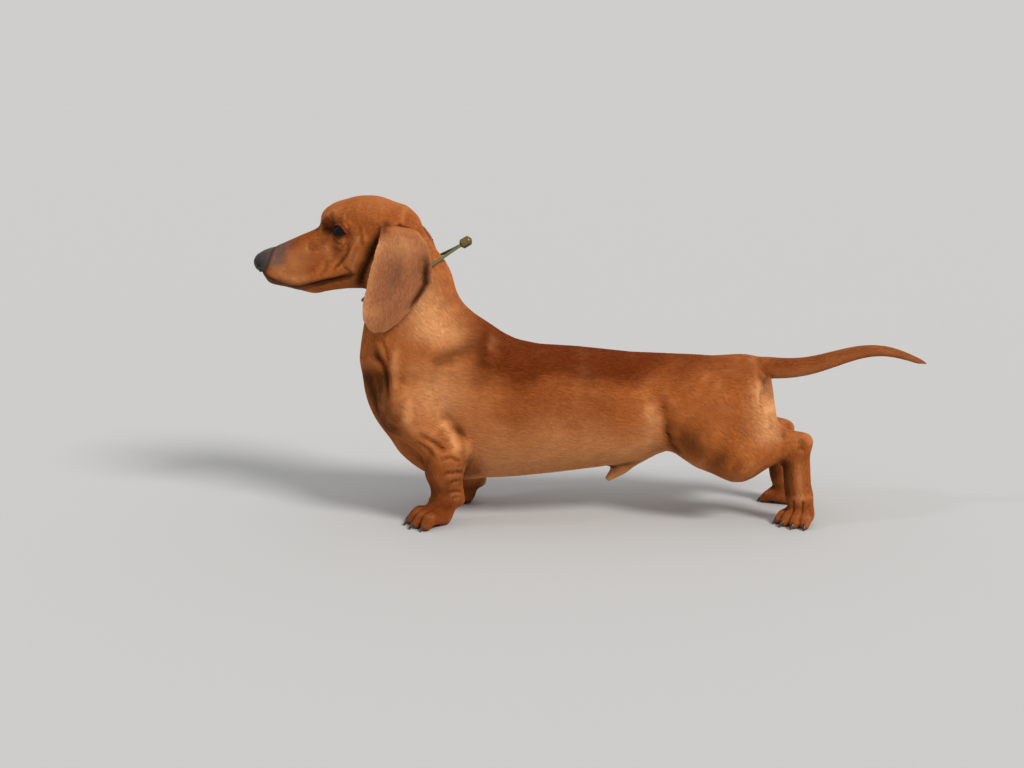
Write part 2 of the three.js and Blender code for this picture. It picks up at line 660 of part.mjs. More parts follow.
// A leather: a bent surface place(u, v) with a thickness, closed round its rim.
function leather(place, thick, nu, nv) {
  const points = [];
  for (const layer of [-0.5, 0.5])
    for (let j = 0; j <= nv; j++)
      for (let i = 0; i <= nu; i++) {
        const [u, v] = [i / nu, j / nv];
        const step = 0.01;
        const along = place(Math.min(1, u + step), v).sub(place(Math.max(0, u - step), v));
        const down = place(u, Math.min(1, v + step)).sub(place(u, Math.max(0, v - step)));
        const normal = along.cross(down).normalize();
        points.push(...place(u, v).addScaledVector(normal, layer * thick(u, v)).toArray());
      }
  const at = (layer, i, j) => (layer * (nv + 1) + j) * (nu + 1) + i;
  const faces = [];
  const quad = (a, b, c, d) => faces.push(a, b, c, a, c, d);
  for (let j = 0; j < nv; j++)
    for (let i = 0; i < nu; i++) {
      quad(at(0, i, j), at(0, i, j + 1), at(0, i + 1, j + 1), at(0, i + 1, j));
      quad(at(1, i, j), at(1, i + 1, j), at(1, i + 1, j + 1), at(1, i, j + 1));
    }
  for (let i = 0; i < nu; i++) {
    quad(at(0, i, 0), at(0, i + 1, 0), at(1, i + 1, 0), at(1, i, 0));
    quad(at(0, i + 1, nv), at(0, i, nv), at(1, i, nv), at(1, i + 1, nv));
  }
  for (let j = 0; j < nv; j++) {
    quad(at(0, 0, j + 1), at(0, 0, j), at(1, 0, j), at(1, 0, j + 1));
    quad(at(0, nu, j), at(0, nu, j + 1), at(1, nu, j + 1), at(1, nu, j));
  }
  return outward(points, faces);
}

// ---------- where the flesh is parted
const HEAD_SEAM = { point: [-81, 0, 345], way: [-0.8, 0, 0.6] };
const NECK_SEAM = { point: [-21, 0, 235], way: [-0.327, 0, 0.945] };
const TAIL_SEAM = { point: [317, 0, 178], way: [0.93, 0, 0.37] };
const back = (way) => way.map((v) => -v);

function foreRegion(side, shift, grow) {
  const [y0, y1] = side < 0 ? [-REACH, -33 + grow] : [33 - grow, REACH];
  const door = sideways(arch([-106 + shift, -18 + shift], 204, 0, grow), y0, y1);
  const low = side < 0 ? [-REACH, -REACH, -REACH] : [-REACH, 0.5, -REACH];
  const high = side < 0 ? [90, -0.5, 43 + grow] : [90, REACH, 43 + grow];
  return door.add(block(low, high));
}

function hindRegion(side, shift, grow) {
  const [y0, y1] = side < 0 ? [-REACH, -18 + grow] : [18 - grow, REACH];
  const door = sideways(arch([186 - shift, 394 - shift], 179, 0, grow), y0, y1);
  const low = side < 0 ? [200, -REACH, -REACH] : [200, 0.5, -REACH];
  const high = side < 0 ? [REACH, -0.5, 62 + grow] : [REACH, REACH, 62 + grow];
  return door.add(block(low, high));
}

function tailRegion(grow) {
  const wide = 17.5 + grow;
  return beyond(TAIL_SEAM.point, TAIL_SEAM.way, -grow).intersect(block([280, -wide, 150], [600, wide, 260]));
}

const aboveFloor = block([-REACH, -REACH, 0], [2 * REACH, REACH, REACH]);

// ---------- head, nose and eyes
const gaze = (side) => {
  const [turn, lift] = [rad(EYE_TURN), rad(EYE_LIFT)];
  return new THREE.Vector3(-Math.cos(turn), side * Math.sin(turn), Math.tan(lift)).normalize();
};

// The opening between the lids, a long way out along the gaze.
function lidOpening(side) {
  const half = LID_OPENING / 2;
  const shape = new THREE.Shape();
  shape.moveTo(-half, 0);
  shape.quadraticCurveTo(-half * 0.1, LID_GAPE, half, 0);
  shape.quadraticCurveTo(half * 0.1, -LID_GAPE, -half, 0);
  const pulled = new THREE.ExtrudeGeometry(shape, { depth: 30, bevelEnabled: false, curveSegments: 10 });
  const way = gaze(side);
  const across = new THREE.Vector3(0, 0, 1).cross(way).normalize(); // towards the dog's other side
  const up = way.clone().cross(across);
  const drop = rad(LID_TILT) * side;
  const tilted = across.clone().multiplyScalar(Math.cos(drop)).addScaledVector(up, Math.sin(drop));
  const frame = new THREE.Matrix4().makeBasis(tilted, way.clone().cross(tilted), way);
  return solid(pulled.applyMatrix4(frame.setPosition(...onSide(side, EYE))));
}

const ball = (side, radius, w = 18, h = 12) =>
  solid(new THREE.SphereGeometry(radius, w, h).translate(...onSide(side, EYE)));

// How far out the flesh goes at a height, from the middle plane outwards.
function skinY(distance, x, z) {
  let [near, far] = [0, 90];
  for (let i = 0; i < 24; i++) {
    const y = (near + far) / 2;
    if (distance(x, y, z) < 0) near = y;
    else far = y;
  }
  return near;
}

const headBody = bodyIn([-300, -80, 240], [0, 80, 400]);
const lipSide = (side) => LIP_LINE.map(([x, z]) => [x, side * skinY(headBody, x, z), z]);
const lipPath = [...lipSide(LEFT).reverse(), [-270, 0, 290.5], ...lipSide(RIGHT)];
const lipCurve = new THREE.CatmullRomCurve3(lipPath.map((p) => new THREE.Vector3(...p)));
const mouth = tube(lipCurve.getSpacedPoints(46).map((p) => p.toArray()), () => 1.1, 6);

const nostril = (side) =>
  tube([[-277, side * 4.5, 304.5], [-273, side * 6.5, 304], [-270, side * 9.5, 301.5], [-267, side * 13, 298.5]],
    (t) => 2.7 - 1.6 * t, 8);

const noseLean = rad(NOSE_LEAN);
const noseWay = [-Math.cos(noseLean), 0, Math.sin(noseLean)];
const nosePoint = [NOSE_CUT[0], 0, NOSE_CUT[1]];
const noseRegion = (grow) =>
  beyond(nosePoint, noseWay, -grow).intersect(block([-REACH, -REACH, NOSE_SOLE - grow], [0, REACH, REACH]));

let head = bodyMesh([-290, -62, 244], [-58, 62, 392], 2.5, 3250)
  .intersect(beyond(HEAD_SEAM.point, HEAD_SEAM.way, SEAM / 2))
  .subtract(noseRegion(SEAM))
  .subtract(mouth);
for (const side of [LEFT, RIGHT]) head = head.subtract(ball(side, EYE_RADIUS + SEAM)).subtract(lidOpening(side));
add("head", head, coat);

add(
  "nose",
  bodyMesh([-286, -22, 284], [-236, 22, 330], 1.7, 620)
    .intersect(noseRegion(0))
    .subtract(nostril(LEFT))
    .subtract(nostril(RIGHT)),
  noseLeather,
);
add("eye_left", ball(LEFT, EYE_RADIUS), eyeGlass);
add("eye_right", ball(RIGHT, EYE_RADIUS), eyeGlass.clone());

// ---------- ears
const edge = (side, line) => new THREE.CatmullRomCurve3(line.map((p) => new THREE.Vector3(...onSide(side, p))));
function ear(side) {
  const [front, rear] = [edge(side, EAR_FRONT), edge(side, EAR_REAR)];
  const place = (u, v) => {
    const p = front.getPoint(v).lerp(rear.getPoint(v), u);
    const hanging = Math.min(1, v * 3);
    const curl = Math.max(0, u - 0.82) / 0.18; // the rear edge turns outwards
    p.y += side * hanging * (2.4 * Math.sin(Math.PI * u) + 3.2 * curl * curl - 1.5 * Math.exp(-(((u - 0.35) / 0.14) ** 2)));
    return p;
  };
  const thick = (u, v) => EAR_THICKNESS * (0.72 + 0.28 * Math.sin(Math.PI * u)) * (v < 0.1 ? 1.5 - v * 5 : 1);
  return leather(place, thick, 12, 18);
}
const nearHead = [[-160, -60, 300], [-50, 60, 385]];
const headSkin = solid(
  geometryOf(thinned(surface((x, y, z) => headBody(x, y, z) - 0.9, ...nearHead, 3.5), 1500)),
);
add("ear_left", ear(LEFT).subtract(headSkin), earCoat);
add("ear_right", ear(RIGHT).subtract(headSkin), earCoat.clone());

// ---------- neck, trunk and tail
add(
  "neck",
  bodyMesh([-190, -84, 160], [40, 84, 372], 5.5, 1000)
    .intersect(beyond(HEAD_SEAM.point, back(HEAD_SEAM.way), SEAM / 2))
    .intersect(beyond(NECK_SEAM.point, NECK_SEAM.way, SEAM / 2)),
  coat.clone(),
);

const legRegions = (grow) => [
  foreRegion(LEFT, 0, grow),
  foreRegion(RIGHT, FAR_FORELIMB_BACK / 2, grow),
  hindRegion(LEFT, 0, grow),
  hindRegion(RIGHT, FAR_HINDLIMB_FORWARD, grow),
];
let torso = bodyMesh([-185, -96, 20], [350, 96, 252], 5.5, 2500)
  .intersect(beyond(NECK_SEAM.point, back(NECK_SEAM.way), SEAM / 2))
  .subtract(tailRegion(SEAM));
for (const region of legRegions(SEAM)) torso = torso.subtract(region);
add("torso", torso, coat.clone());
add("tail", bodyMesh([290, -34, 130], [530, 34, 222], 3, 800).intersect(tailRegion(0)), coat.clone());

// ---------- legs
function claws(paw, side, turn, size) {
  return toes(paw, side, turn, size).map((t) => {
    const [a, b] = [new THREE.Vector3(...t.clawRoot), new THREE.Vector3(...t.clawTip)];
    const middle = a.clone().lerp(b, 0.5).add(new THREE.Vector3(0, 0, 1.6 * size));
    const root = a.clone().lerp(b, -0.5);
    const line = new THREE.CatmullRomCurve3([root, a, middle, b]).getPoints(5).map((p) => p.toArray());
    return tube(line, (s) => size * (2.9 - 2.1 * s ** 1.6), 7);
  });
}

function leg(name, low, high, region, paw, side, limbSizes) {
  let made = bodyMesh(low, high, 2.8, 1300).intersect(region);
  for (const claw of claws(paw, side, limbSizes.turn, limbSizes.size)) made = made.add(claw);
  add(name, made.intersect(aboveFloor), coat.clone());
}
const [lf, rf, lh, rh] = legRegions(0);
leg("leg_front_left", [-134, -100, -8], [-4, -20, 214], lf, foreLeft.paw, LEFT, FORELIMB);
leg("leg_front_right", [-124, 20, -8], [16, 100, 214], rf, foreRight.paw, RIGHT, FORELIMB);
leg("leg_hind_left", [178, -92, -8], [396, -8, 188], lh, hindLeft.paw, LEFT, HINDLIMB);
leg("leg_hind_right", [170, 8, -8], [390, 92, 188], rh, hindRight.paw, RIGHT, HINDLIMB);

// ---------- show collar: a round cord high on the neck and the slide that closes its loop
const neckBody = bodyIn([-190, -90, 220], [20, 90, 380]);
const collarMiddle = [(COLLAR_NAPE[0] + COLLAR_THROAT[0]) / 2, (COLLAR_NAPE[1] + COLLAR_THROAT[1]) / 2];
const collarSpan = [COLLAR_NAPE[0] - COLLAR_THROAT[0], COLLAR_NAPE[1] - COLLAR_THROAT[1]];
const collarLength = Math.hypot(...collarSpan);
function collarPoint(angle) {
  const [c, s] = [Math.cos(angle), Math.sin(angle)];
  const at = (r) => [
    collarMiddle[0] + (collarSpan[0] / collarLength) * c * r,
    s * r,
    collarMiddle[1] + (collarSpan[1] / collarLength) * c * r,
  ];
  let [near, far] = [10, 110];
  for (let i = 0; i < 24; i++) {
    const r = (near + far) / 2;
    if (neckBody(...at(r)) < COLLAR_CORD / 2 + 2) near = r;
    else far = r;
  }
  return new THREE.Vector3(...at(far));
}
const round = [];
for (let a = 46; a <= 314; a += 13.4) round.push(collarPoint(rad(a)));
const slideAt = new THREE.Vector3(COLLAR_SLIDE[0], 0, COLLAR_SLIDE[1]);
const pull = slideAt.clone().sub(new THREE.Vector3(COLLAR_NAPE[0], 0, COLLAR_NAPE[1])).normalize();
const beside = (y, along) => slideAt.clone().addScaledVector(pull, along).add(new THREE.Vector3(0, y, 0));
const cordCurve = new THREE.CatmullRomCurve3(
  [beside(2.4, -9), ...round, beside(-2.4, -9), beside(-2.4, 4), beside(0, 8), beside(2.4, 4)],
  true,
  "centripetal",
);
const cordPoints = cordCurve.getSpacedPoints(50).slice(0, 50).map((p) => p.toArray());
const cord = (radius) => tube(cordPoints, () => radius, 8, true);
add("collar", cord(COLLAR_CORD / 2), cordOlive);
const sleeve = tube([-5, -3.5, 0, 3.5, 5].map((s) => beside(0, s - 2).toArray()), () => 6, 14);
add("collar_slide", sleeve.subtract(cord(COLLAR_CORD / 2 + 2 * SEAM)), brass);

// ---------- origin: the middle of the floor under the dog
const bounds = new THREE.Box3().setFromObject(group);
const middle = bounds.getCenter(new THREE.Vector3());
for (const mesh of group.children) mesh.geometry.translate(-middle.x, -middle.y, -bounds.min.z);

export default group;
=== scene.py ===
# A smooth-haired red dachshund in show stance, dressed over its solid model.
# Places are in millimetres. In this file x is measured from the withers, -X is where the dog looks
# and -Y is its left side, as in the solids.
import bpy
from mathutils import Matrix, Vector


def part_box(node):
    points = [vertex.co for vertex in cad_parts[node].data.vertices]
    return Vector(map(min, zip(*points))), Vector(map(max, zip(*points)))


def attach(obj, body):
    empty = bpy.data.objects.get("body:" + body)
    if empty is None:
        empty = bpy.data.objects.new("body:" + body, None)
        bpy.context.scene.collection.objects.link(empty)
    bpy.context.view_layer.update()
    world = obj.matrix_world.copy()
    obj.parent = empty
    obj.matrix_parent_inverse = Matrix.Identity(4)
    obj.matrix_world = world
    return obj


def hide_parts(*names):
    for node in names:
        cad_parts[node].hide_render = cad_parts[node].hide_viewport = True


bl_info = {
    "name": "Standing Dachshund",
    "version": (1, 0, 0),
    "blender": (4, 5, 0),
    "location": "View3D > Sidebar > Dachshund",
    "description": "Skin, short coat, eyes, nose, claws and show collar of a standing dachshund",
    "category": "Add Mesh",
}

import math

import bmesh
import bpy
import numpy as np
from bpy.props import FloatProperty, FloatVectorProperty, IntProperty, PointerProperty
from mathutils import Matrix, Vector
from mathutils.bvhtree import BVHTree

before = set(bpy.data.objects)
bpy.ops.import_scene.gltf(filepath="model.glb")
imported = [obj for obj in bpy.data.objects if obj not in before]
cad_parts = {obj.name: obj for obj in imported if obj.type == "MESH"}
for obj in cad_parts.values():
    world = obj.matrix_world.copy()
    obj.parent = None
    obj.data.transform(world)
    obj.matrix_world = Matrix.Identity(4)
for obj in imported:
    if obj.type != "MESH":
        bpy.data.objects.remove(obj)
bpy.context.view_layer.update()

MM = 0.001
SIDES = (-1, 1)  # left, right
FLESH = [
    "head", "neck", "torso", "tail", "nose", "ear_left", "ear_right",
    "leg_front_left", "leg_front_right", "leg_hind_left", "leg_hind_right",
]
GROWN = 0.45  # the flesh solids grow by this so that neighbours join, and the skin goes back by it
SKIN_FACES, PIECE_FACES = 188000, 199000  # triangles of the skin, and the most in a coat piece
BALL, SOCKET, CORNEA = 10.5, 11.2, 6.6  # radius of an eyeball, of the flesh round it, and of its cornea
EYE = np.array([-169.5, 25.5, 339.5])  # centre of an eyeball, y on either side
GAZE_TURN, GAZE_LIFT = math.radians(52), math.radians(6)
LID_HALF, LID_UPPER, LID_LOWER = 10.6, 5.9, 5.1  # the opening, measured on the ball
LID_TILT = math.radians(14)
NOSE_EDGE, NOSE_LEAN = (-255, 310), 0.35  # where the leather meets the hair, and how that edge leans
PAWS = {  # centre, turn outwards in degrees, size
    "front_left": ((-65, -50), 24, 0.95),
    "front_right": ((-41, 50), 24, 0.95),
    "hind_left": ((361, -47), 47, 0.82),
    "hind_right": ((359, 47), 47, 0.82),
}
# Edges of the hanging ear, from its end up
EAR_FRONT = np.array([
    (-132, 54.5, 225.5), (-141, 55.5, 231), (-147, 56.5, 243), (-147, 57, 259),
    (-141, 57, 283), (-134, 56, 310), (-127, 53, 334), (-124, 45, 348.5),
])
EAR_REAR = np.array([
    (-121, 54, 227), (-106, 54.5, 237), (-91, 54, 251), (-78, 53, 267),
    (-66, 52, 284), (-65, 51, 305), (-70, 48, 327), (-83, 41, 343),
])
TAIL_LINE = np.array([
    (294, 172), (330, 176.5), (365, 178), (400, 186), (434, 195), (458, 197.5), (482, 192), (513, 181.5),
])
LIPS = np.array([
    (-266, 291), (-255, 284.5), (-243, 279.5), (-232, 276.5), (-220, 276),
    (-207, 279.4), (-192, 284.1), (-178, 286.8), (-163, 291.5),
])

# The withers in the row frame, from where the model has its left eye.
_low, _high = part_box("eye_left")
ORIGIN = (np.array(_low) + np.array(_high)) / 2 / MM - EYE * (1, -1, 1)


def row(points):
    """Places from the withers in mm to the row frame in metres."""
    return (np.asarray(points, float) + ORIGIN) * MM


# ---------- settings that a user would change
def measure(name, text, default):
    return FloatProperty(name=name, description=text, default=default, min=0, unit="LENGTH")


class DachshundSettings(bpy.types.PropertyGroup):
    voxel: measure("Skin detail", "Cell that the skin is remeshed at", 0.0018)
    coat_depth: measure("Coat depth", "How far the skin lies inside the coat", 0.0008)
    hair_length: measure("Hair length", "Length of a tuft on the trunk", 0.009)
    hair_width: measure("Tuft width", "Width of a tuft at its root on the trunk", 0.0006)
    tufts: IntProperty(name="Tufts", description="Number of tufts in the coat", default=300000, min=1000)
    seed: IntProperty(name="Seed", description="Start of every random draw", default=7)
    eye_radius: measure("Eye radius", "Radius of an eyeball", BALL * MM)


def hex_colour(code):
    """An sRGB hex value as linear RGBA."""
    parts = [int(code[i : i + 2], 16) / 255 for i in (1, 3, 5)]
    return (*[c / 12.92 if c <= 0.04045 else ((c + 0.055) / 1.055) ** 2.4 for c in parts], 1.0)


def colour(name, text, code):
    tone = hex_colour(code)[:3]
    return FloatVectorProperty(name=name, description=text, default=tone, subtype="COLOR", min=0, max=1)


class DachshundColours(bpy.types.PropertyGroup):
    red: colour("Red", "Main colour of the coat", "#a95f2e")
    # the saddle's red is also used for painted shade, and much darkened for painted shade in folds
    saddle: colour("Saddle", "Deep red along the back and on the legs", "#6b2d0f")
    # the gold is also the colour of painted highlights
    pale: colour("Gold", "Pale gold of neck, shoulder and belly", "#dca06c")
    ear: colour("Ear", "Brown of the ears", "#ac6d46")
    # painted sheen: greyish brown laid on the short hair behind the nose and lightly on the ears
    grey_sheen: colour("Muzzle", "Grey brown of the thin hair behind the nose", "#79605a")
    bare: colour("Bare skin", "Lips, rims of the lids and pads", "#2a1d1a")


# ---------- small tools for points
def ramp(x, low, high):
    """0 below low, 1 above high, smooth between; low above high turns it round."""
    t = np.clip((x - low) / (high - low), 0, 1)
    return t * t * (3 - 2 * t)


def band(x, low, full, still, high):
    """0 below low, 1 from full to still, 0 above high."""
    return ramp(x, low, full) * ramp(x, high, still)


def hill(x, wide):
    """1 at x = 0, falling off on both sides over so wide a stretch."""
    return np.exp(-((x / wide) ** 2))


def taper(t, steep):
    """Nearly 0 at both ends of a line, 1 between."""
    return np.clip(np.minimum(t, 1 - t) * steep, 0.1, 1)


def unit(rows):
    return rows / np.maximum(np.linalg.norm(rows, axis=1), 1e-6)[:, None]


def off_line(points, line):
    """How far each point is from a line of places, and how far along it, 0 to 1."""
    line = np.asarray(line, float)
    best = np.full(len(points), 1e9)
    along = np.zeros(len(points))
    lengths = np.linalg.norm(np.diff(line, axis=0), axis=1)
    start = np.concatenate([[0], np.cumsum(lengths)])
    for i, (a, b) in enumerate(zip(line[:-1], line[1:])):
        t = np.clip((points - a) @ (b - a) / max(lengths[i] ** 2, 1e-9), 0, 1)
        d = np.linalg.norm(points - (a + t[:, None] * (b - a)), axis=1)
        near = d < best
        best[near] = d[near]
        along[near] = (start[i] + t[near] * lengths[i]) / start[-1]
    return best, along


def relax(points, edges, weight, rounds, regrow=0.0):
    """Moves each point towards the middle of its neighbours, and back by a share that keeps the form full."""
    a, b = edges.T
    count = len(points)
    share = np.maximum(np.bincount(edges.ravel(), minlength=count), 1)
    for step in [0.5, -regrow] * rounds if regrow else [0.5] * rounds:
        for k in range(points.shape[1]):
            value = points[:, k]
            total = np.bincount(a, value[b], count) + np.bincount(b, value[a], count)
            points[:, k] = value + weight * step * (total / share - value)
    return points


def fetch(items, key, wide, kind=float):
    """One property of all these parts of a mesh, a row each."""
    values = np.zeros(len(items) * wide, kind)
    items.foreach_get(key, values)
    return values.reshape(-1, wide)


def read(mesh):
    """Vertex places from the withers in mm."""
    return fetch(mesh.vertices, "co", 3) / MM - ORIGIN


def write(mesh, points):
    mesh.vertices.foreach_set("co", row(points).ravel())
    mesh.update()


def edges_of(mesh):
    return fetch(mesh.edges, "vertices", 2, np.int64)


def normals_of(mesh):
    return fetch(mesh.vertex_normals, "vector", 3)


def new_object(name, mesh, finish=None):
    mesh.shade_smooth()
    obj = bpy.data.objects.new(name, mesh)
    bpy.context.scene.collection.objects.link(obj)
    if finish:
        mesh.materials.append(finish)
    return obj


def from_bmesh(name, bm, finish=None):
    mesh = bpy.data.meshes.new(name)
    bm.to_mesh(mesh)
    bm.free()
    return new_object(name, mesh, finish)


def set_at(place, way):
    """Moves what faces +Z at the origin to a place, where it faces this way."""
    turn = Vector((0, 0, 1)).rotation_difference(Vector(way)).to_matrix().to_4x4()
    return Matrix.Translation(row(place)) @ turn


def finished(obj):
    """The object's mesh with its modifiers made real."""
    graph = bpy.context.evaluated_depsgraph_get()
    made = bpy.data.meshes.new_from_object(obj.evaluated_get(graph))
    old = obj.data
    obj.modifiers.clear()
    obj.data = made
    bpy.data.meshes.remove(old)
    return made


def remeshed(obj, cell):
    """The object's mesh as one closed surface of even cells."""
    remesh = obj.modifiers.new("one surface", "REMESH")
    remesh.mode = "VOXEL"
    remesh.voxel_size = cell
    return finished(obj)


def copies(names, grow):
    """The solids of these nodes in one bmesh, each grown by so many mm."""
    whole = bmesh.new()
    for name in names:
        part = bmesh.new()
        part.from_mesh(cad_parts[name].data)
        bmesh.ops.remove_doubles(part, verts=part.verts, dist=2e-6)
        part.normal_update()
        for v in part.verts:
            v.co += v.normal * grow * MM
        made = bpy.data.meshes.new("part")
        part.to_mesh(made)
        part.free()
        whole.from_mesh(made)
        bpy.data.meshes.remove(made)
    return whole


# ---------- where things are on the dog
def ear_sheet(p):
    """Share of the way over the ear from front to rear edge, share down it, and how far out its middle is."""
    z = p[:, 2]
    front = [np.interp(z, EAR_FRONT[:, 2], EAR_FRONT[:, k]) for k in (0, 1)]
    rear = [np.interp(z, EAR_REAR[:, 2], EAR_REAR[:, k]) for k in (0, 1)]
    across = (p[:, 0] - front[0]) / np.maximum(rear[0] - front[0], 4)
    middle = front[1] + (rear[1] - front[1]) * np.clip(across, 0, 1)
    return across, (346 - z) / 121, middle


def ear_wave(across, down):
    """How far the ear stands out from flat: a lifted front edge, a trough, a ridge and a turned rear edge."""

    def over(low, high):
        return band(down, low - 0.12, low + 0.04, high - 0.04, high + 0.12)

    return (
        3.4 * hill(across, 0.16) * over(0.2, 0.8)
        - 1.6 * hill(across - 0.34, 0.15) * over(0.12, 0.7)
        + 1.3 * hill(across - 0.54, 0.12) * over(0.1, 0.75)
        - 2.6 * hill(across - (0.85 + 0.08 * down), 0.07) * over(0.34, 0.68)
        + 3.4 * hill(across - 1.0, 0.08) * over(0.2, 0.72)
        + 0.9 * np.sin(across * 7 + 1) * over(0.75, 1.1)
    )


def ear_share(p):
    """1 on the hanging ears, 0 elsewhere."""
    across, down, middle = ear_sheet(p)
    z = EAR_FRONT[:, 2]
    span = np.interp(p[:, 2], z, np.interp(z, EAR_REAR[:, 2], EAR_REAR[:, 0]) - EAR_FRONT[:, 0])
    edge = 1.6 / np.maximum(span, 8)
    inside = band(across, -edge - 0.02, 0.0, 1.0, 1 + edge + 0.02)
    inside = inside * ramp(p[:, 2], 222.5, 224) * ramp(p[:, 2], 351, 347)
    out = np.abs(p[:, 1]) - middle - np.minimum(ear_wave(across, down), 0)
    return inside * ramp(out, -3.6, -2.4)


def head_share(p):
    """1 on the head, 0 behind the line from the nape to the throat."""
    beyond = (p[:, 0] + 81) * -0.8 + (p[:, 2] - 345) * 0.6
    return ramp(beyond, -14, 14)


def neck_share(p):
    base = (p[:, 0] + 21) * -0.327 + (p[:, 2] - 235) * 0.945
    return ramp(base, -26, 26) * (1 - head_share(p))


def leg_share(p):
    """1 on the free legs below the trunk."""
    x, y, z = p[:, 0], np.abs(p[:, 1]), p[:, 2]
    fore = ramp(z, 96, 60) * ramp(x, -4, -18) * ramp(y, 24, 34)
    hind = ramp(z, 112, 70) * ramp(x, 222, 262) * ramp(y, 8, 18)
    hock = ramp(x, 326, 338) * ramp(z, 140, 118)
    return np.maximum.reduce([fore, hind, hock])


def tail_share(p):
    return ramp(p[:, 0], 306, 326) * ramp(p[:, 2], 138, 152)


def sole_share(p):
    return ramp(p[:, 2], 3.4, 1.2)


def before_nose(p):
    """How far in front of the edge of the nose leather a place lies, in mm."""
    return -(p[:, 0] - NOSE_EDGE[0]) * math.cos(NOSE_LEAN) + (p[:, 2] - NOSE_EDGE[1]) * math.sin(NOSE_LEAN)


def lip_height(x):
    return np.interp(x, LIPS[:, 0], LIPS[:, 1])


def gaze_frame(side):
    """Along the gaze, along the lids towards the ear, and up across them."""
    way = np.array([-math.cos(GAZE_TURN), side * math.sin(GAZE_TURN), math.tan(GAZE_LIFT)])
    way /= np.linalg.norm(way)
    rear = np.array([math.sin(GAZE_TURN), side * math.cos(GAZE_TURN), 0.0])
    up = np.cross(way, rear) * -side
    lean = rear * math.cos(LID_TILT) - up * math.sin(LID_TILT)
    return way, lean, np.cross(way, lean) * -side


def from_lids(p, side):
    """How far outside one eye's lids, below 0 in their opening; how far from the ball's centre; how high."""
    way, rear, up = gaze_frame(side)
    d = p - EYE * (1, side, 1)
    r = np.maximum(np.linalg.norm(d, axis=1), 1e-6)
    a = np.abs(np.arctan2(d @ rear, d @ way) * BALL)
    b = np.arcsin(np.clip(d @ up / r, -1, 1)) * BALL
    edge = np.where(b > 0, LID_UPPER, LID_LOWER) * np.clip(1 - (a / LID_HALF) ** 2, 0, 1)
    over = np.abs(b) - edge
    outside = np.hypot(np.maximum(a - LID_HALF, 0), np.maximum(over, 0))
    outside = np.where((a < LID_HALF) & (over < 0), over, outside)
    return np.where(r > 27, 30, outside), r, b  # the rest of the head counts as 30 mm away


def lid_distance(p):
    """How far outside the edge of the nearer eye's lids, in mm."""
    return np.minimum(*[from_lids(p, side)[0] for side in SIDES])


# Lines of the side view that are both folded and shaded: x and z of each point
CHEEK = (-158, 328, -165, 314.5, -173, 304, -181, 296)
UNDER_EYE = (-184, 333, -177, 326.5, -168, 324.5, -159, 329)
BEHIND_MOUTH = (-153, 320, -158, 306, -160.5, 296)
THROAT = (-136, 213, -132, 200, -123, 188, -120, 167, -117, 146)
SHOULDER = (-74, 193, -53, 200, -33, 209, -15, 216)
UPPER_ARM = (-66, 124, -54, 121, -45, 110, -40, 99, -42, 90)
BEHIND_ARM = (-48, 126, -38, 113, -33, 100, -31, 86, -28, 72)
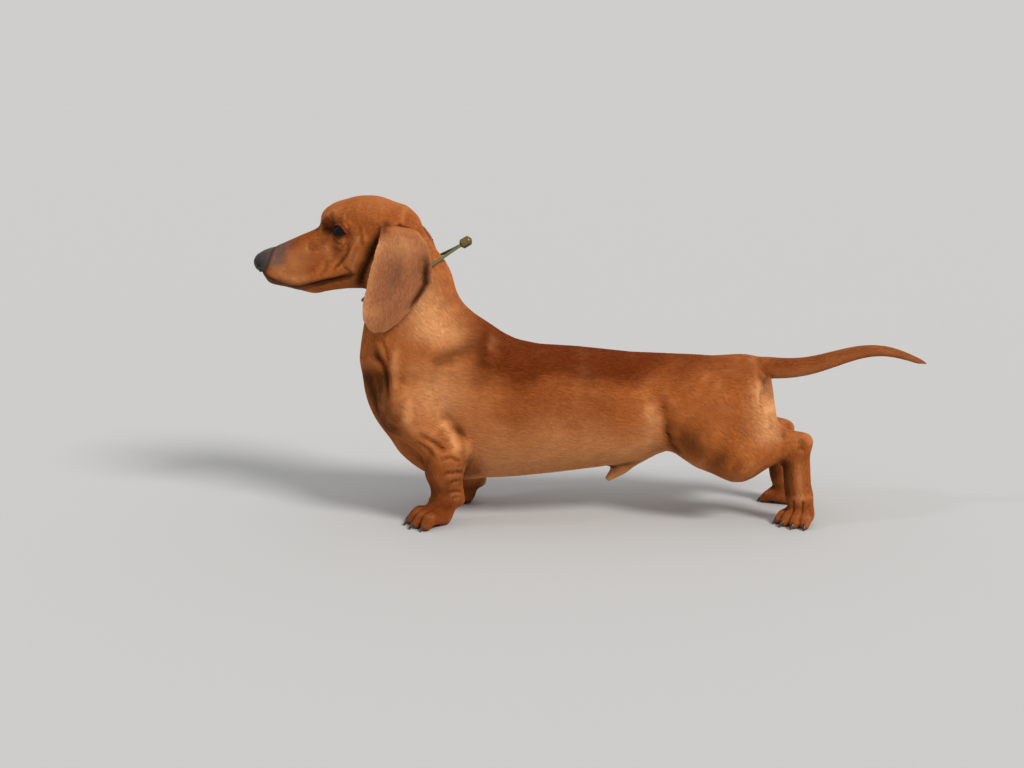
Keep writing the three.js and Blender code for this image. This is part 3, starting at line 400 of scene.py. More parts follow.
# Folds of the skin as the side view shows them: width, depth, least y, then x and z along the line
FOLDS = [
    (2.3, 1.9, 15, *CHEEK),
    (1.9, 1.4, 15, *UNDER_EYE),
    (2.0, 0.7, 15, -149, 349, -147, 337, -145, 322),  # temple
    (1.8, 0.8, 12, -186, 350, -176, 354.5, -164, 350, -157, 341),  # upper lid
    (4.0, -1.3, 14, -190, 354, -178, 360, -163, 356),  # brow
    (3.0, 1.2, 12, -198, 346, -192, 343, -186, 342),  # inner corner of the eye
    (7.0, 1.3, 12, -212, 322, -200, 324, -190, 328),  # hollow before the eye
    (4.5, -1.3, 20, -163, 332, -150, 334, -136, 333),  # cheekbone
    (8.0, -1.4, 20, -150, 312, -140, 303, -137, 294),  # jaw muscle
    (4.0, -1.0, 6, -250, 289, -236, 285, -220, 283, -204, 286),  # upper lip
    (1.8, 1.2, 15, -158, 291, -163, 297, -169, 301),  # corner of the mouth
    (2.6, 1.0, 15, *BEHIND_MOUTH),
    (3.4, 0.9, 12, -198, 289, -190, 296, -187, 307),  # end of the upper lip
    (1.8, 1.6, 30, -121, 345, -113, 345, -103, 348, -93, 343, -80, 333),  # above the ear
    (4.6, 3.4, 20, -122, 342, -132, 325, -140, 307, -146, 291, -151, 272),  # cheek before the ear
    (3.4, 1.5, 40, -88, 114, -76, 110, -66, 105, -58, 99, -50, 93),  # under the upper arm
    (2.6, 1.2, 40, -88, 105, -77.5, 101, -70, 95, -64, 85),
    (2.3, 1.0, 34, -60, 85, -46, 88, -33, 81),  # creases behind the forearm
    (2.1, 1.2, 34, -54, 69, -42, 70, -31, 67),
    (1.8, 0.9, 32, -49, 55, -42, 58, -31, 57),
    (1.9, 1.0, 30, -50, 44, -42, 44.6, -33, 42),
    (1.6, 0.7, 30, -46, 35, -40, 37, -34, 35),
    (5.5, 0.9, 40, *BEHIND_ARM),
    (9.0, 0.8, 20, -6, 236, -12, 222, -14, 206, -12, 186, -16, 160),  # behind the shoulder blade
    (9.0, -0.2, 20, 8, 232, -2, 208, 0, 180),
    (7.0, 1.0, 20, *SHOULDER),
    (4.6, -1.1, 20, -108, 213, -110.5, 189, -109.5, 162),  # loose skin of the throat
    (4.0, 2.0, 14, *THROAT),
    (2.6, 1.3, 16, -127, 222, -121, 206, -117, 192),
    (5.5, -1.6, 26, -96, 155, -93.5, 135, -96, 122),  # point of the shoulder
    (6.0, -2.6, 40, *UPPER_ARM),
    (8.0, 1.0, 26, 188, 166, 185.5, 146, 192, 127),
    (6.5, 2.2, 26, 194, 160, 197.5, 140, 201, 125, 202.5, 110, 207, 95, 223, 80),  # before the thigh
    (10.0, -1.2, 30, 222, 148, 220, 126, 232, 108, 252, 96),
    (8.0, 0.9, 20, 262, 178, 280, 160, 300, 150),
    (4.5, 1.4, 26, 316, 120, 326, 112, 344, 104),  # hollow above the heel tendon
    (5.5, 0.8, 26, 357, 104, 359, 97, 357, 90),
    (4.0, 1.2, 26, 343, 82, 346, 60, 347, 42, 348, 30),  # along the rear pastern
]


def sculpt(p, n):
    """Folds the loose skin, and bends the ear's leather as one sheet, its two faces together."""
    out = np.zeros(len(p))
    side_view, y, ear = p[:, [0, 2]], np.abs(p[:, 1]), ear_share(p)
    for wide, deep, low, *line in FOLDS:
        line = np.reshape(line, (-1, 2))
        box_low, box_high = line.min(0) - 3.6 * wide, line.max(0) + 3.6 * wide
        near = ((side_view > box_low) & (side_view < box_high)).all(axis=1) & (y > low) & (ear < 0.2)
        if near.any():
            d, t = off_line(side_view[near], line)
            facing = np.clip(np.abs(n[near, 1]) * 1.6, 0, 1) * ramp(y[near], low, low + 6)
            bank = hill(d - 2.1 * wide, 1.3 * wide)
            out[near] += deep * (0.3 * bank - hill(d, wide)) * taper(t, 5) * facing
    q = p + n * out[:, None]
    across, down, _ = ear_sheet(p)
    q[:, 1] += np.sign(p[:, 1]) * (ear_wave(across, down) * ear)
    return q


def set_lips(p, n):
    """A closed line of the mouth with a rounded upper lip over it."""
    q = p.copy()
    near = (p[:, 0] < -150) & (p[:, 2] < 312) & (p[:, 2] > 262) & (np.abs(p[:, 1]) < 46)
    p, n = p[near], n[near]
    d, t = off_line(p[:, [0, 2]], LIPS)
    facing = ramp(np.abs(n[:, 1]) + np.clip(-n[:, 0], 0, 1), 0.1, 0.5)
    full = np.where(p[:, 2] > lip_height(p[:, 0]), 1.3, -0.3)
    move = -2.0 * hill(d, 0.9) + full * hill(d - 2.8, 2.2)
    q[near] += n * (move * facing * ramp(t, 1.0, 0.93))[:, None]
    return q


def set_lids(p):
    """The lids wrap the eyeball: thick rims round an opening that the eye fills."""
    q = p.copy()
    for side in SIDES:
        s, r, b = from_lids(p, side)
        near = (s < 9) & (r < 26)
        s, r, b = s[near], r[near], b[near]
        centre = EYE * (1, side, 1)
        upper = ramp(b, -1, 2)
        rim = BALL - 2.8 * ramp(s, 0.25, -0.35) + (1.25 + 0.35 * upper) * ramp(s, 0.0, 0.9)
        rim -= (0.4 + 0.5 * upper) * hill(s - 3.4 - upper, 0.9)
        rim += 0.7 * ramp(s, 4.2, 7.0)
        share = ramp(s, 8.5, 2.8)
        goal = r * (1 - share) + rim * share
        q[near] = centre + (p[near] - centre) * (goal / r)[:, None]
    return q


def toe_lines(name):
    """The toes of a paw: for each, base, knuckle, tip, claw root and claw tip."""
    (cx, cy), turn, size = PAWS[name]
    side = 1 if cy > 0 else -1
    made = []
    for i, angle in enumerate((-27, -9, 9, 27)):
        way, out = math.radians(turn + angle * 0.8), math.radians(turn + 90)
        across = (i - 1.5) * 9.2 * size
        inner = 1 if i in (1, 2) else 0.84

        def at(forward, z):
            return np.array([
                cx - (math.cos(way) * forward * inner + math.cos(out) * across),
                cy + side * (math.sin(way) * forward * inner + math.sin(out) * across),
                z * size - 2.2,
            ])

        joints = ((2, 14), (19, 14.5), (28.5, 8), (32, 8.6), (39, 2.4))
        made.append([at(forward * size, z) for forward, z in joints])
    return made


def round_tail(p):
    """The tail as one even round taper along a smooth line."""
    x, z = TAIL_LINE.T
    every = np.linspace(x[0], x[-1], 90)
    line = np.stack([every, 0 * every, np.polyval(np.polyfit(x - 400, z, 5), every - 400)], 1)
    near = tail_share(p) > 0
    q = p.copy()
    p = p[near]
    d, t = off_line(p, line)
    start = np.concatenate([[0], np.cumsum(np.linalg.norm(np.diff(line, axis=0), axis=1))])
    middle = np.stack([np.interp(t, start / start[-1], line[:, k]) for k in (0, 1, 2)], 1)
    free = (p[:, 0] > 332) & (t < 0.96)
    even = np.polyval(np.polyfit(t[free], d[free], 3), t)
    share = tail_share(p) * ramp(t, 0.985, 0.95)
    q[near] += (p - middle) * (share * (even / np.maximum(d, 1) - 1))[:, None]
    return q


def part_toes(p, n):
    """Grooves between the toes, and a rise along each."""
    move = np.zeros(len(p))
    for name, ((x, y), _, _) in PAWS.items():
        lines = toe_lines(name)
        near = (np.hypot(p[:, 0] - x + 10, p[:, 1] - y) < 48) & (p[:, 2] < 30)
        q = p[near]
        for a, b in zip(lines[:-1], lines[1:]):
            d, t = off_line(q[:, :2], [((a[k] + b[k]) / 2)[:2] for k in (0, 1, 2)])
            move[near] -= 2.3 * hill(d, 1.9) * ramp(t, 0.1, 0.6) * ramp(q[:, 2], 1.0, 4)
        for toe in lines:
            d, _ = off_line(q, [toe[1] + (0, 0, 2), toe[2] + (0, 0, 2)])
            move[near] += 0.9 * hill(d - 6, 3.0) * np.clip(n[near, 2], 0, 1)
    return p + n * move[:, None]


# Lines of the side view along which the coat is shaded (+) or catches the light (-):
# width, strength, least y, then x and z along the line
TONES = [
    (1.5, 0.9, 30, -119, 344, -113, 345, -103, 348, -93, 343, -80, 333),
    (7.0, 1.0, 20, -123, 343, -135, 325, -143, 307, -149, 292, -155, 270),
    (2.0, 0.6, 15, *CHEEK),
    (2.0, 0.5, 15, *UNDER_EYE),
    (3.6, 1.0, 13, -196, 341.5, -190, 340.5, -184, 339, -179, 338),
    (3.2, 0.5, 8, -200, 347, -188, 351, -176, 352),
    (3.6, 0.55, 15, -181, 322, -172, 321, -161, 323),
    (1.6, 0.4, 15, -148, 348, -146.5, 337, -145, 322),
    (3.4, 0.9, 12, -216, 278, -197, 281, -179, 285.5, -160, 291, -144, 294),
    (3.4, -0.5, 15, *BEHIND_MOUTH),
    (4.5, -0.4, 12, -196, 330, -188, 318, -184, 306),
    (3.4, -0.3, 6, -246, 291, -234, 287, -222, 285, -206, 289),
    (9.0, -0.35, 8, -238, 309, -222, 313, -206, 317),
    (2.6, 0.75, 0, 120, 55.5, 140, 60, 170, 65),
    (6.0, 0.85, 10, *THROAT),
    (12.0, 0.95, 0, -149, 192, -141, 162, -128, 130, -110, 103),
    (13.0, 0.8, 0, -133, 190, -124, 156, -110, 122),
    (6.0, -0.32, 20, -107, 214, -110.5, 189, -109.5, 160),
    (4.5, -0.6, 22, -101, 146, -96, 125, -84, 114),
    (9.0, 0.45, 18, *SHOULDER),
    (6.0, 0.35, 20, -9, 230, -13.5, 209, -13, 184),
    (5.0, -0.7, 40, *UPPER_ARM),
    (3.4, 0.4, 40, -84, 113, -76, 110, -66, 105, -58, 99, -53, 95),
    (2.6, 0.4, 40, -85, 104, -77.5, 101, -70, 95, -66, 87),
    (2.2, 0.5, 34, -60, 86, -46, 88, -33, 81),
    (2.0, 0.5, 34, -56, 69, -42, 70, -31, 67),
    (2.0, 0.45, 32, -55, 55, -42, 58, -31, 57),
    (1.8, 0.45, 30, -54, 45, -42, 44.6, -33, 42),
    (5.5, 0.2, 40, *BEHIND_ARM),
    (7.0, 0.5, 20, -80, 90, -74, 70, -70, 50, -70, 30),
    (4.5, 0.6, 26, 200, 128, 203, 110, 208, 95, 223, 81),
    (15.0, 0.6, 30, 210, 116, 232, 100, 259, 87, 276, 80),
    (12.0, 0.45, 30, 206, 124, 222, 112, 240, 104),
    (12.0, -0.8, 20, 180, 150, 184, 124, 180, 100, 168, 82),
    (9.0, -0.5, 14, 308, 158, 315, 139, 317.5, 115, 319, 99),
    (9.0, 0.5, 30, 277, 83, 289, 77),
    (3.5, 0.6, 8, 307, 176, 312, 171, 317, 165),
    (6.0, 0.5, 20, 357, 105, 359, 97, 357, 89),
    (6.5, 0.9, 8, 338, 86, 341, 62, 343, 42, 344, 26),
    (4.0, -0.4, 20, 355, 84, 357, 66, 358, 44, 357, 25),
]


def markings(p, n):
    """How pale, deep red, ear-brown or bare the coat is at a place, and where shade, highlights and a sheen
    are painted on it.
    """
    x, y, z = p.T
    side, up = np.abs(y), n[:, 2]
    ear, leg, tail = ear_share(p), leg_share(p), tail_share(p)
    head = head_share(p) * (1 - ear)
    trunk = (1 - head) * (1 - ear)
    wave = 6 * np.sin(x * 0.045 + 1.0) + 4 * np.sin(x * 0.11 + side * 0.06) + 3 * np.sin(z * 0.09 + x * 0.03)

    # pale gold: side of the neck, shoulder, ribs, belly, back of the thighs and muzzle, in part painted
    # highlight; a painted highlight on the crown
    # a paler band of coat on the side of the neck, made brighter still as a painted highlight
    neck = hill(x + 76 + (z - 250) * 0.6, 31) * band(z, 200, 230, 315, 352)
    shoulder = hill(x + 64, 38) * hill(z - 156, 34)
    ribs = ramp(z + wave, 150, 96) * band(x, -46, -14, 150, 190) * ramp(-up, 0.95, 0.5)
    under = ramp(-up, 0.3, 0.9) * band(x, -60, -20, 240, 280)
    # painted highlight on the back of the thighs, strongest where the skin faces backward
    rear = ramp(x + n[:, 0] * 16, 276, 326) * band(z, 88, 112, 160, 176)
    pale = trunk * np.clip(0.92 * neck + 0.7 * shoulder + 0.36 * ribs + 0.5 * under + 0.75 * rear, 0, 1)
    # a paler lower muzzle, and a painted highlight on the crown
    muzzle = 0.25 * band(x, -262, -250, -228, -200) * ramp(z, 318, 300) + 0.15 * ramp(z, 350, 372)
    pale = np.maximum(pale * (1 - 0.8 * leg), head * muzzle)

    # darker, towards the saddle's deep red: saddle, legs, tail, top of the muzzle, along the lips; painted
    # shade on the side of the trunk and round the eyes
    saddle = ramp(z + wave + 10 * up, 162, 200) * ramp(x, -50, -2) * (1 - 0.6 * ramp(x, 205, 290))
    # painted shade on the middle of the trunk's side, below the saddle
    flank = 0.35 * ramp(z + wave, 100, 140) * band(x, -10, 26, 120, 160)
    # darker on the legs, most on the forelegs and towards the feet
    limb = np.where(x < 100, 0.42, 0.1) + 0.3 * ramp(z, 40, 20)
    dark = trunk * np.clip(saddle + flank + leg * limb, 0, 1)
    lids, (lips, _) = lid_distance(p), off_line(p[:, [0, 2]], LIPS)
    face = head * ((x < -158) & (z < 316))
    # painted shade round the eyes; the top of the tail, the top of the muzzle and the face near the lips are
    # darker
    dark = np.maximum.reduce([
        dark * (1 - tail), tail * (0.3 + 0.3 * ramp(up, -0.2, 0.5)), 0.8 * head * ramp(lids, 7, 2.2),
        0.45 * head * ramp(up, 0.1, 0.7) * ramp(x, -190, -205), 0.55 * face * ramp(lips, 7, 2),
    ])

    # bare skin: lips, rims of the lids, under the paws, round the nose leather
    before = before_nose(p)
    # the lower jaw's band below the mouth line is as dark as bare skin: black lip, and painted shade under
    # the upper lip
    lower_lip = band(lip_height(x) - z, -0.5, 0.8, 4.5, 8.5) * ramp(x, -208, -228)
    bare = np.maximum.reduce([
        0.8 * ramp(lips, 1.5, 0.6) * face, 0.8 * face * lower_lip, ramp(lids, 1.9, 1.1), sole_share(p),
        0.8 * ramp(before, -6.0, -0.5) + 0.2 * ramp(before, 0.0, 2.0),
    ])

    shade = np.zeros(len(p))
    for wide, strength, low, *line in TONES:
        d, t = off_line(p[:, [0, 2]], np.reshape(line, (-1, 2)))
        hit = strength * hill(d, wide) * taper(t, 6) * ramp(side, low - 6, low) * (1 - ear)
        shade = np.where(np.abs(hit) > np.abs(shade), hit, shade)

    # the ear: painted shade in its middle, in the hollow along its turned rear edge and in the notch at its
    # root; painted highlights along its edges, on its crown and near its end
    across, down, _ = ear_sheet(p)
    gap = hill(across - 0.86 - 0.08 * down, 0.055) * band(down, 0.3, 0.44, 0.66, 0.78)
    curl = hill(across - 0.84, 0.12) * band(down, 0.18, 0.3, 0.36, 0.5)
    middle = hill(across - 0.42 - 0.15 * (down - 0.4), 0.14) * hill(down - 0.42, 0.17)
    shade = shade + (1 - shade) * ear * np.clip(gap + 0.35 * curl + 0.22 * middle, 0, 1)
    edge = ramp(across, 0.2, 0.02) * ramp(down, 0.08, 0.16)
    edge = edge + 0.5 * ramp(across, 0.93, 1.0) * ramp(down, 0.75, 0.6)
    crown = hill(across - 0.42, 0.3) * hill(down - 0.16, 0.12)
    end = hill(across - 0.22, 0.2) * hill(down - 0.8, 0.12)
    shade = shade - ear * np.clip(0.8 * edge + 0.7 * crown + 0.45 * end, 0, 0.9)
    notch = hill(across - 0.12, 0.12) * band(down, -0.08, -0.03, 0.02, 0.07)
    shade = shade + (1 - shade) * 0.8 * notch * ramp(side, 24, 30)

    # painted sheen, greyish brown: on the upper muzzle behind the nose leather, and lightly on the ears, most
    # in their middle
    grey_sheen = np.maximum(0.85 * head * ramp(before, -24, -9) * ramp(z, 294, 304), ear * (0.1 + 0.2 * middle))
    ear = ear * ramp(down, -0.02, 0.12)
    return {"pale": pale, "dark": dark, "ear": ear, "grey_sheen": grey_sheen, "bare": bare, "shade": shade}


def lie(p, n):
    """The way the coat lies, along the skin."""
    x, y, z = p.T
    side = np.sign(y)
    head, leg, tail, foot = head_share(p), leg_share(p), tail_share(p), ramp(z, 34, 18)
    tail_x, tail_z = TAIL_LINE.T
    slope = np.interp(x, tail_x[1:], np.diff(tail_z) / np.diff(tail_x))
    way = np.stack([np.ones(len(p)), np.zeros(len(p)), -0.38 * ramp(n[:, 2], 0.9, 0.1)], 1)
    for share, turned in (
        (head, (1, 0.25 * side, 0.25 - 0.5 * ramp(z, 335, 300))),
        (neck_share(p), (0.62, 0.05 * side, -0.8)),
        (ramp(x, -86, -120) * ramp(z, 215, 190) * (1 - head), (0.25, 0.3 * side, -0.95)),  # chest
        (leg, (0.12 - 0.9 * foot, 0.35 * side * foot, -1 + 0.45 * foot)),
        (ramp(x, 186, 230) * ramp(z, 178, 150) * (1 - leg) * (1 - tail), (0.75, 0, -0.75)),  # thigh
        (ear_share(p), (-0.22, 0, -1)),
        (tail, (1, 0, slope)),
    ):
        for k in (0, 1, 2):
            way[:, k] = way[:, k] * (1 - share) + turned[k] * share
    return unit(way - (way * n).sum(1)[:, None] * n)


def hair_length(p):
    """Share of the trunk's hair length at a place."""
    x, _, z = p.T
    head, leg = head_share(p), leg_share(p)
    tail = tail_share(p) * (0.4 + 0.3 * ramp(x, 400, 500))
    share = 1.0 - head * (0.35 + 0.3 * ramp(x, -150, -225)) - 0.3 * leg - 0.25 * ramp(z, 40, 15) * leg - tail
    return np.clip(share - ear_share(p) * (0.2 + 0.35 * ramp(z, 250, 228)), 0.3, 1.1)


# ---------- finishes
def put(tree, kind, links=(), **settings):
    """Adds a node with its settings; links pair a socket or a plain value with the input that it goes to."""
    node = tree.nodes.new("ShaderNode" + kind)
    for key, value in settings.items():
        if key in node.bl_rna.properties:
            setattr(node, key, value)
        else:
            node.inputs[key.replace("_", " ")].default_value = value
    for source, target in links:
        if isinstance(source, bpy.types.NodeSocket):
            tree.links.new(source, node.inputs[target])
        else:
            node.inputs[target].default_value = source
    return node


def finish_named(name, **settings):
    """A new material, its tree and its shader with these settings."""
    material = bpy.data.materials.new(name)
    material.use_nodes = True
    tree = material.node_tree
    tree.nodes.clear()
    out = put(tree, "OutputMaterial")
    shader = put(tree, "BsdfPrincipled", **settings)
    tree.links.new(shader.outputs[0], out.inputs[0])
    return material, tree, shader


def patterned(name, kind, pattern, low, high, relief=None, **settings):
    """A finish between two tones over a pattern; relief is how strongly and how high it stands out."""
    material, tree, shader = finish_named(name, **settings)
    place = put(tree, "TexCoord").outputs["Object"]
    outputs = put(tree, kind, [(place, "Vector")], **pattern).outputs
    value = outputs["Distance" if "Distance" in outputs else "Fac"]
    links = [(value, 0), (hex_colour(low), 6), (hex_colour(high), 7)]
    tone = put(tree, "Mix", links, data_type="RGBA").outputs[2]
    tree.links.new(tone, shader.inputs["Base Color"])
    if relief:
        bump = put(tree, "Bump", [(value, "Height")], Strength=relief[0], Distance=relief[1])
        tree.links.new(bump.outputs[0], shader.inputs["Normal"])
    return material, tree, shader, tone


MARKS = ("pale", "dark", "ear", "grey_sheen", "bare", "shade")


def coat_finish(name, tufts):
    """Short dog hair with a soft shine: red with deep red and gold, each lock a little different, and painted
    shade, highlights and sheen.
    """
    tone = bpy.context.scene.dachshund_colours
    tint = hex_colour("#ffa066")
    material, tree, shader = finish_named(name, Roughness=0.6, Specular_IOR_Level=0.25, Specular_Tint=tint)
    place = put(tree, "TexCoord").outputs["Object"]
    marks = (*MARKS, "upright", "strand")
    mark = {k: put(tree, "Attribute", attribute_name=k).outputs["Fac"] for k in marks}

    shift = -0.34
    for scale, detail, gain in ((70.0, 3.0, 0.26), (14.0, 2.0, 0.42)):  # patches of 14 mm, drifts of 70 mm
        noise = put(tree, "TexNoise", [(place, "Vector")], Scale=scale, Detail=detail).outputs["Fac"]
        links = [(noise, 0), (gain, 1), (shift, 2)]
        shift = put(tree, "Math", links, operation="MULTIPLY_ADD").outputs[0]
    base = (*tone.red, 1)
    # gold, deep red, ear brown and the painted sheen over the red; gold and deep red also carry painted
    # highlight and shade
    for key, gain, code in (
        ("pale", 0.5, tone.pale),
        ("dark", -0.6, tone.saddle),
        ("ear", 0.0, tone.ear),
        ("grey_sheen", 0.0, tone.grey_sheen),
    ):
        links = [(shift, 0), (gain, 1), (mark[key], 2)]
        share = put(tree, "Math", links, operation="MULTIPLY_ADD", use_clamp=True).outputs[0]
        links = [(share, 0), (base, 6), ((*code, 1), 7)]
        base = put(tree, "Mix", links, data_type="RGBA").outputs[2]
    # streaks of hair: 0.4 mm hairs are drawn as locks about 1.4 mm wide so that they show
    streaks = []
    for scale in ((90.0, 700.0, 700.0), (700.0, 700.0, 90.0)):
        way = put(tree, "Mapping", [(place, "Vector")], Scale=scale).outputs[0]
        streaks.append(put(tree, "TexNoise", [(way, "Vector")], Scale=1.0, Detail=2.0).outputs["Fac"])
    links = [(mark["upright"], 0), (streaks[0], 2), (streaks[1], 3)]
    both = put(tree, "Mix", links, data_type="FLOAT").outputs[0]
    links = [(mark["strand"], 0), (0.34, 1), (0.83, 2)] if tufts else [(both, 0), (0.5, 1), (0.62, 2)]
    light = put(tree, "Math", links, operation="MULTIPLY_ADD").outputs[0]
    light = put(tree, "CombineColor", [(light, 0), (light, 1), (light, 2)]).outputs[0]
    links = [(1.0, 0), (base, 6), (light, 7)]
    base = put(tree, "Mix", links, data_type="RGBA", blend_type="MULTIPLY").outputs[2]
    # painted shade in folds and hollows, painted highlight on ridges, and skin without hair
    # painted shade: the saddle's red darkened to 8 %
    hollow = [c * 0.08 for c in tone.saddle]
    for key, gain, code in (("shade", 0.88, hollow), ("shade", -0.6, tone.pale), ("bare", 1.0, tone.bare)):
        links = [(mark[key], 0), (gain, 1)]
        share = put(tree, "Math", links, operation="MULTIPLY", use_clamp=True).outputs[0]
        links = [(share, 0), (base, 6), ((*code, 1), 7)]
        base = put(tree, "Mix", links, data_type="RGBA").outputs[2]
    tree.links.new(base, shader.inputs["Base Color"])
    if not tufts:
        bump = put(tree, "Bump", [(both, "Height")], Strength=0.5, Distance=0.0006)
        tree.links.new(bump.outputs[0], shader.inputs["Normal"])
    return material


# ---------- pieces
def cavity(p, n, edges):
    """How deep a place lies in a crease, in mm, below 0 on a ridge."""
    return ((relax(p.copy(), edges, 1.0, 14) - p) * n).sum(1)


def mark_skin(mesh, p, n):
    marks = markings(p, n)
    # painted shade in creases and painted highlight on ridges, by how deep each place lies; weaker on bare
    # skin, the ears and the head
    calm = (1 - ramp(marks["bare"], 0.2, 0.6)) * (1 - 0.6 * marks["ear"]) * (1 - 0.4 * head_share(p))
    deep = cavity(p, n, edges_of(mesh)) * calm
    shade = marks["shade"] + 0.62 * ramp(deep, 0.16, 0.9) - 0.25 * ramp(-deep, 0.12, 0.8)
    marks["shade"] = np.clip(shade, -1, 1)
    way = lie(p, n)
    marks["upright"] = ramp(np.abs(way[:, 2]) - np.abs(way[:, 0]), -0.2, 0.4)
    marks["hair"] = hair_length(p)
    marks["lid"] = lid_distance(p)
    for name, values in marks.items():
        mesh.attributes.new(name, "FLOAT", "POINT").data.foreach_set("value", values)
    mesh.attributes.new("way", "FLOAT_VECTOR", "POINT").data.foreach_set("vector", way.ravel())


def on_roots(mesh, name, corners, weight):
    """An attribute of the skin at the roots of the tufts."""
    layer = mesh.attributes[name]
    key, wide = ("vector", 3) if layer.data_type == "FLOAT_VECTOR" else ("value", 1)
    values = (fetch(layer.data, key, wide)[corners] * weight[:, :, None]).sum(1)
    return values if wide == 3 else values[:, 0]


def finer(p, level):
    """Where the cells are halved: face and paws, then round the eyes and along the lips, then the lids."""
    face = (p[:, 0] < -148) & (p[:, 2] > 255)
    if level == 0:
        return face | (p[:, 2] < 30) & (leg_share(p) > 0.5)
    if level == 1:
        return face & ((lid_distance(p) < 6) | (off_line(p[:, [0, 2]], LIPS)[0] < 4))
    return face & (lid_distance(p) < 1.6)


class DACHSHUND_OT_skin(bpy.types.Operator):
    """One skin over all the flesh, with folds, lips, lids and toes"""

    bl_idname = "dachshund.skin"
    bl_label = "Skin"

    def execute(self, context):
        settings = context.scene.dachshund
        whole = copies(FLESH, GROWN)
        for side in SIDES:
            at = Matrix.Translation(row(EYE * (1, side, 1)))
            bmesh.ops.create_icosphere(whole, subdivisions=4, radius=SOCKET * MM, matrix=at)
        skin = from_bmesh("dachshund_skin", whole)
        mesh = remeshed(skin, settings.voxel)
        p, edges = read(mesh), edges_of(mesh)
        # smoothed a little everywhere, then long on the trunk, then a little on all but the ears
        trunk = 1 - np.maximum.reduce([ear_share(p), leg_share(p), head_share(p)])
        p = relax(p, edges, 1.0, 6)
        p = relax(p, edges, trunk, 90, 0.51)
        p = relax(p, edges, 1 - ear_share(p), 10, 0.5)
        write(mesh, round_tail(p))
        for level in (0, 1, 2):
            bm = bmesh.new()
            bm.from_mesh(mesh)
            pick = finer(read(mesh), level)
            bm.verts.ensure_lookup_table()
            chosen = [e for e in bm.edges if pick[e.verts[0].index] and pick[e.verts[1].index]]
            bmesh.ops.subdivide_edges(bm, edges=chosen, cuts=1, use_grid_fill=True)
            bm.to_mesh(mesh)
            bm.free()
            p = read(mesh)
            p = relax(p, edges_of(mesh), (p[:, 0] < -140) | (p[:, 2] < 32), 3)
            write(mesh, p)
        # back inside the coat, deeper where the hair is long and under the nose leather
        leather = ramp(before_nose(p), -1, 2) * (p[:, 2] > 288)
        inward = settings.coat_depth / MM * hair_length(p) + GROWN + 0.4 * leather
        p = p - normals_of(mesh) * (inward * (1 - sole_share(p)))[:, None]
        write(mesh, p)
        for change in (sculpt, part_toes, set_lips):
            p = change(p, normals_of(mesh))
            write(mesh, p)
        p = set_lids(relax(p, edges_of(mesh), 0.6, 1))
        p[:, 2] = np.maximum(p[:, 2], 0.0)
        write(mesh, p)
        thin = skin.modifiers.new("fewer faces", "DECIMATE")
        thin.ratio = min(1.0, SKIN_FACES / sum(len(poly.vertices) - 2 for poly in mesh.polygons))
        thin.use_collapse_triangulate = True
        mesh = finished(skin)
        mark_skin(mesh, read(mesh), normals_of(mesh))
        mesh.shade_smooth()
        mesh.materials.append(coat_finish("short red dog hair over skin", False))
        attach(skin, "root")
        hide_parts(*[name for name in FLESH if name != "nose"])
        return {"FINISHED"}


def coat_places(p):
    """The number in COATS of the piece that a place belongs to."""
    x, left = p[:, 0], p[:, 1] < 0
    on = [share(p) > 0.5 for share in (ear_share, head_share, neck_share, tail_share)] + [leg_share(p) > 0.4]
    piece = [9, np.where(left, 7, 8), 4, 10, np.where(x < 100, 5, 6)]
    return np.select(on, piece, np.where(left, 0, 2) + (x > 120))


COATS = [
    "coat_shoulder_left", "coat_flank_left", "coat_shoulder_right", "coat_flank_right", "coat_neck",
    "coat_forelegs", "coat_hindlegs", "coat_head_left", "coat_head_right", "coat_ears", "coat_tail",
]
SUNK, PROUD, OFF_GROUND = 0.06, 0.12, 0.05  # a tuft's root in the skin, its tip over it, its least height


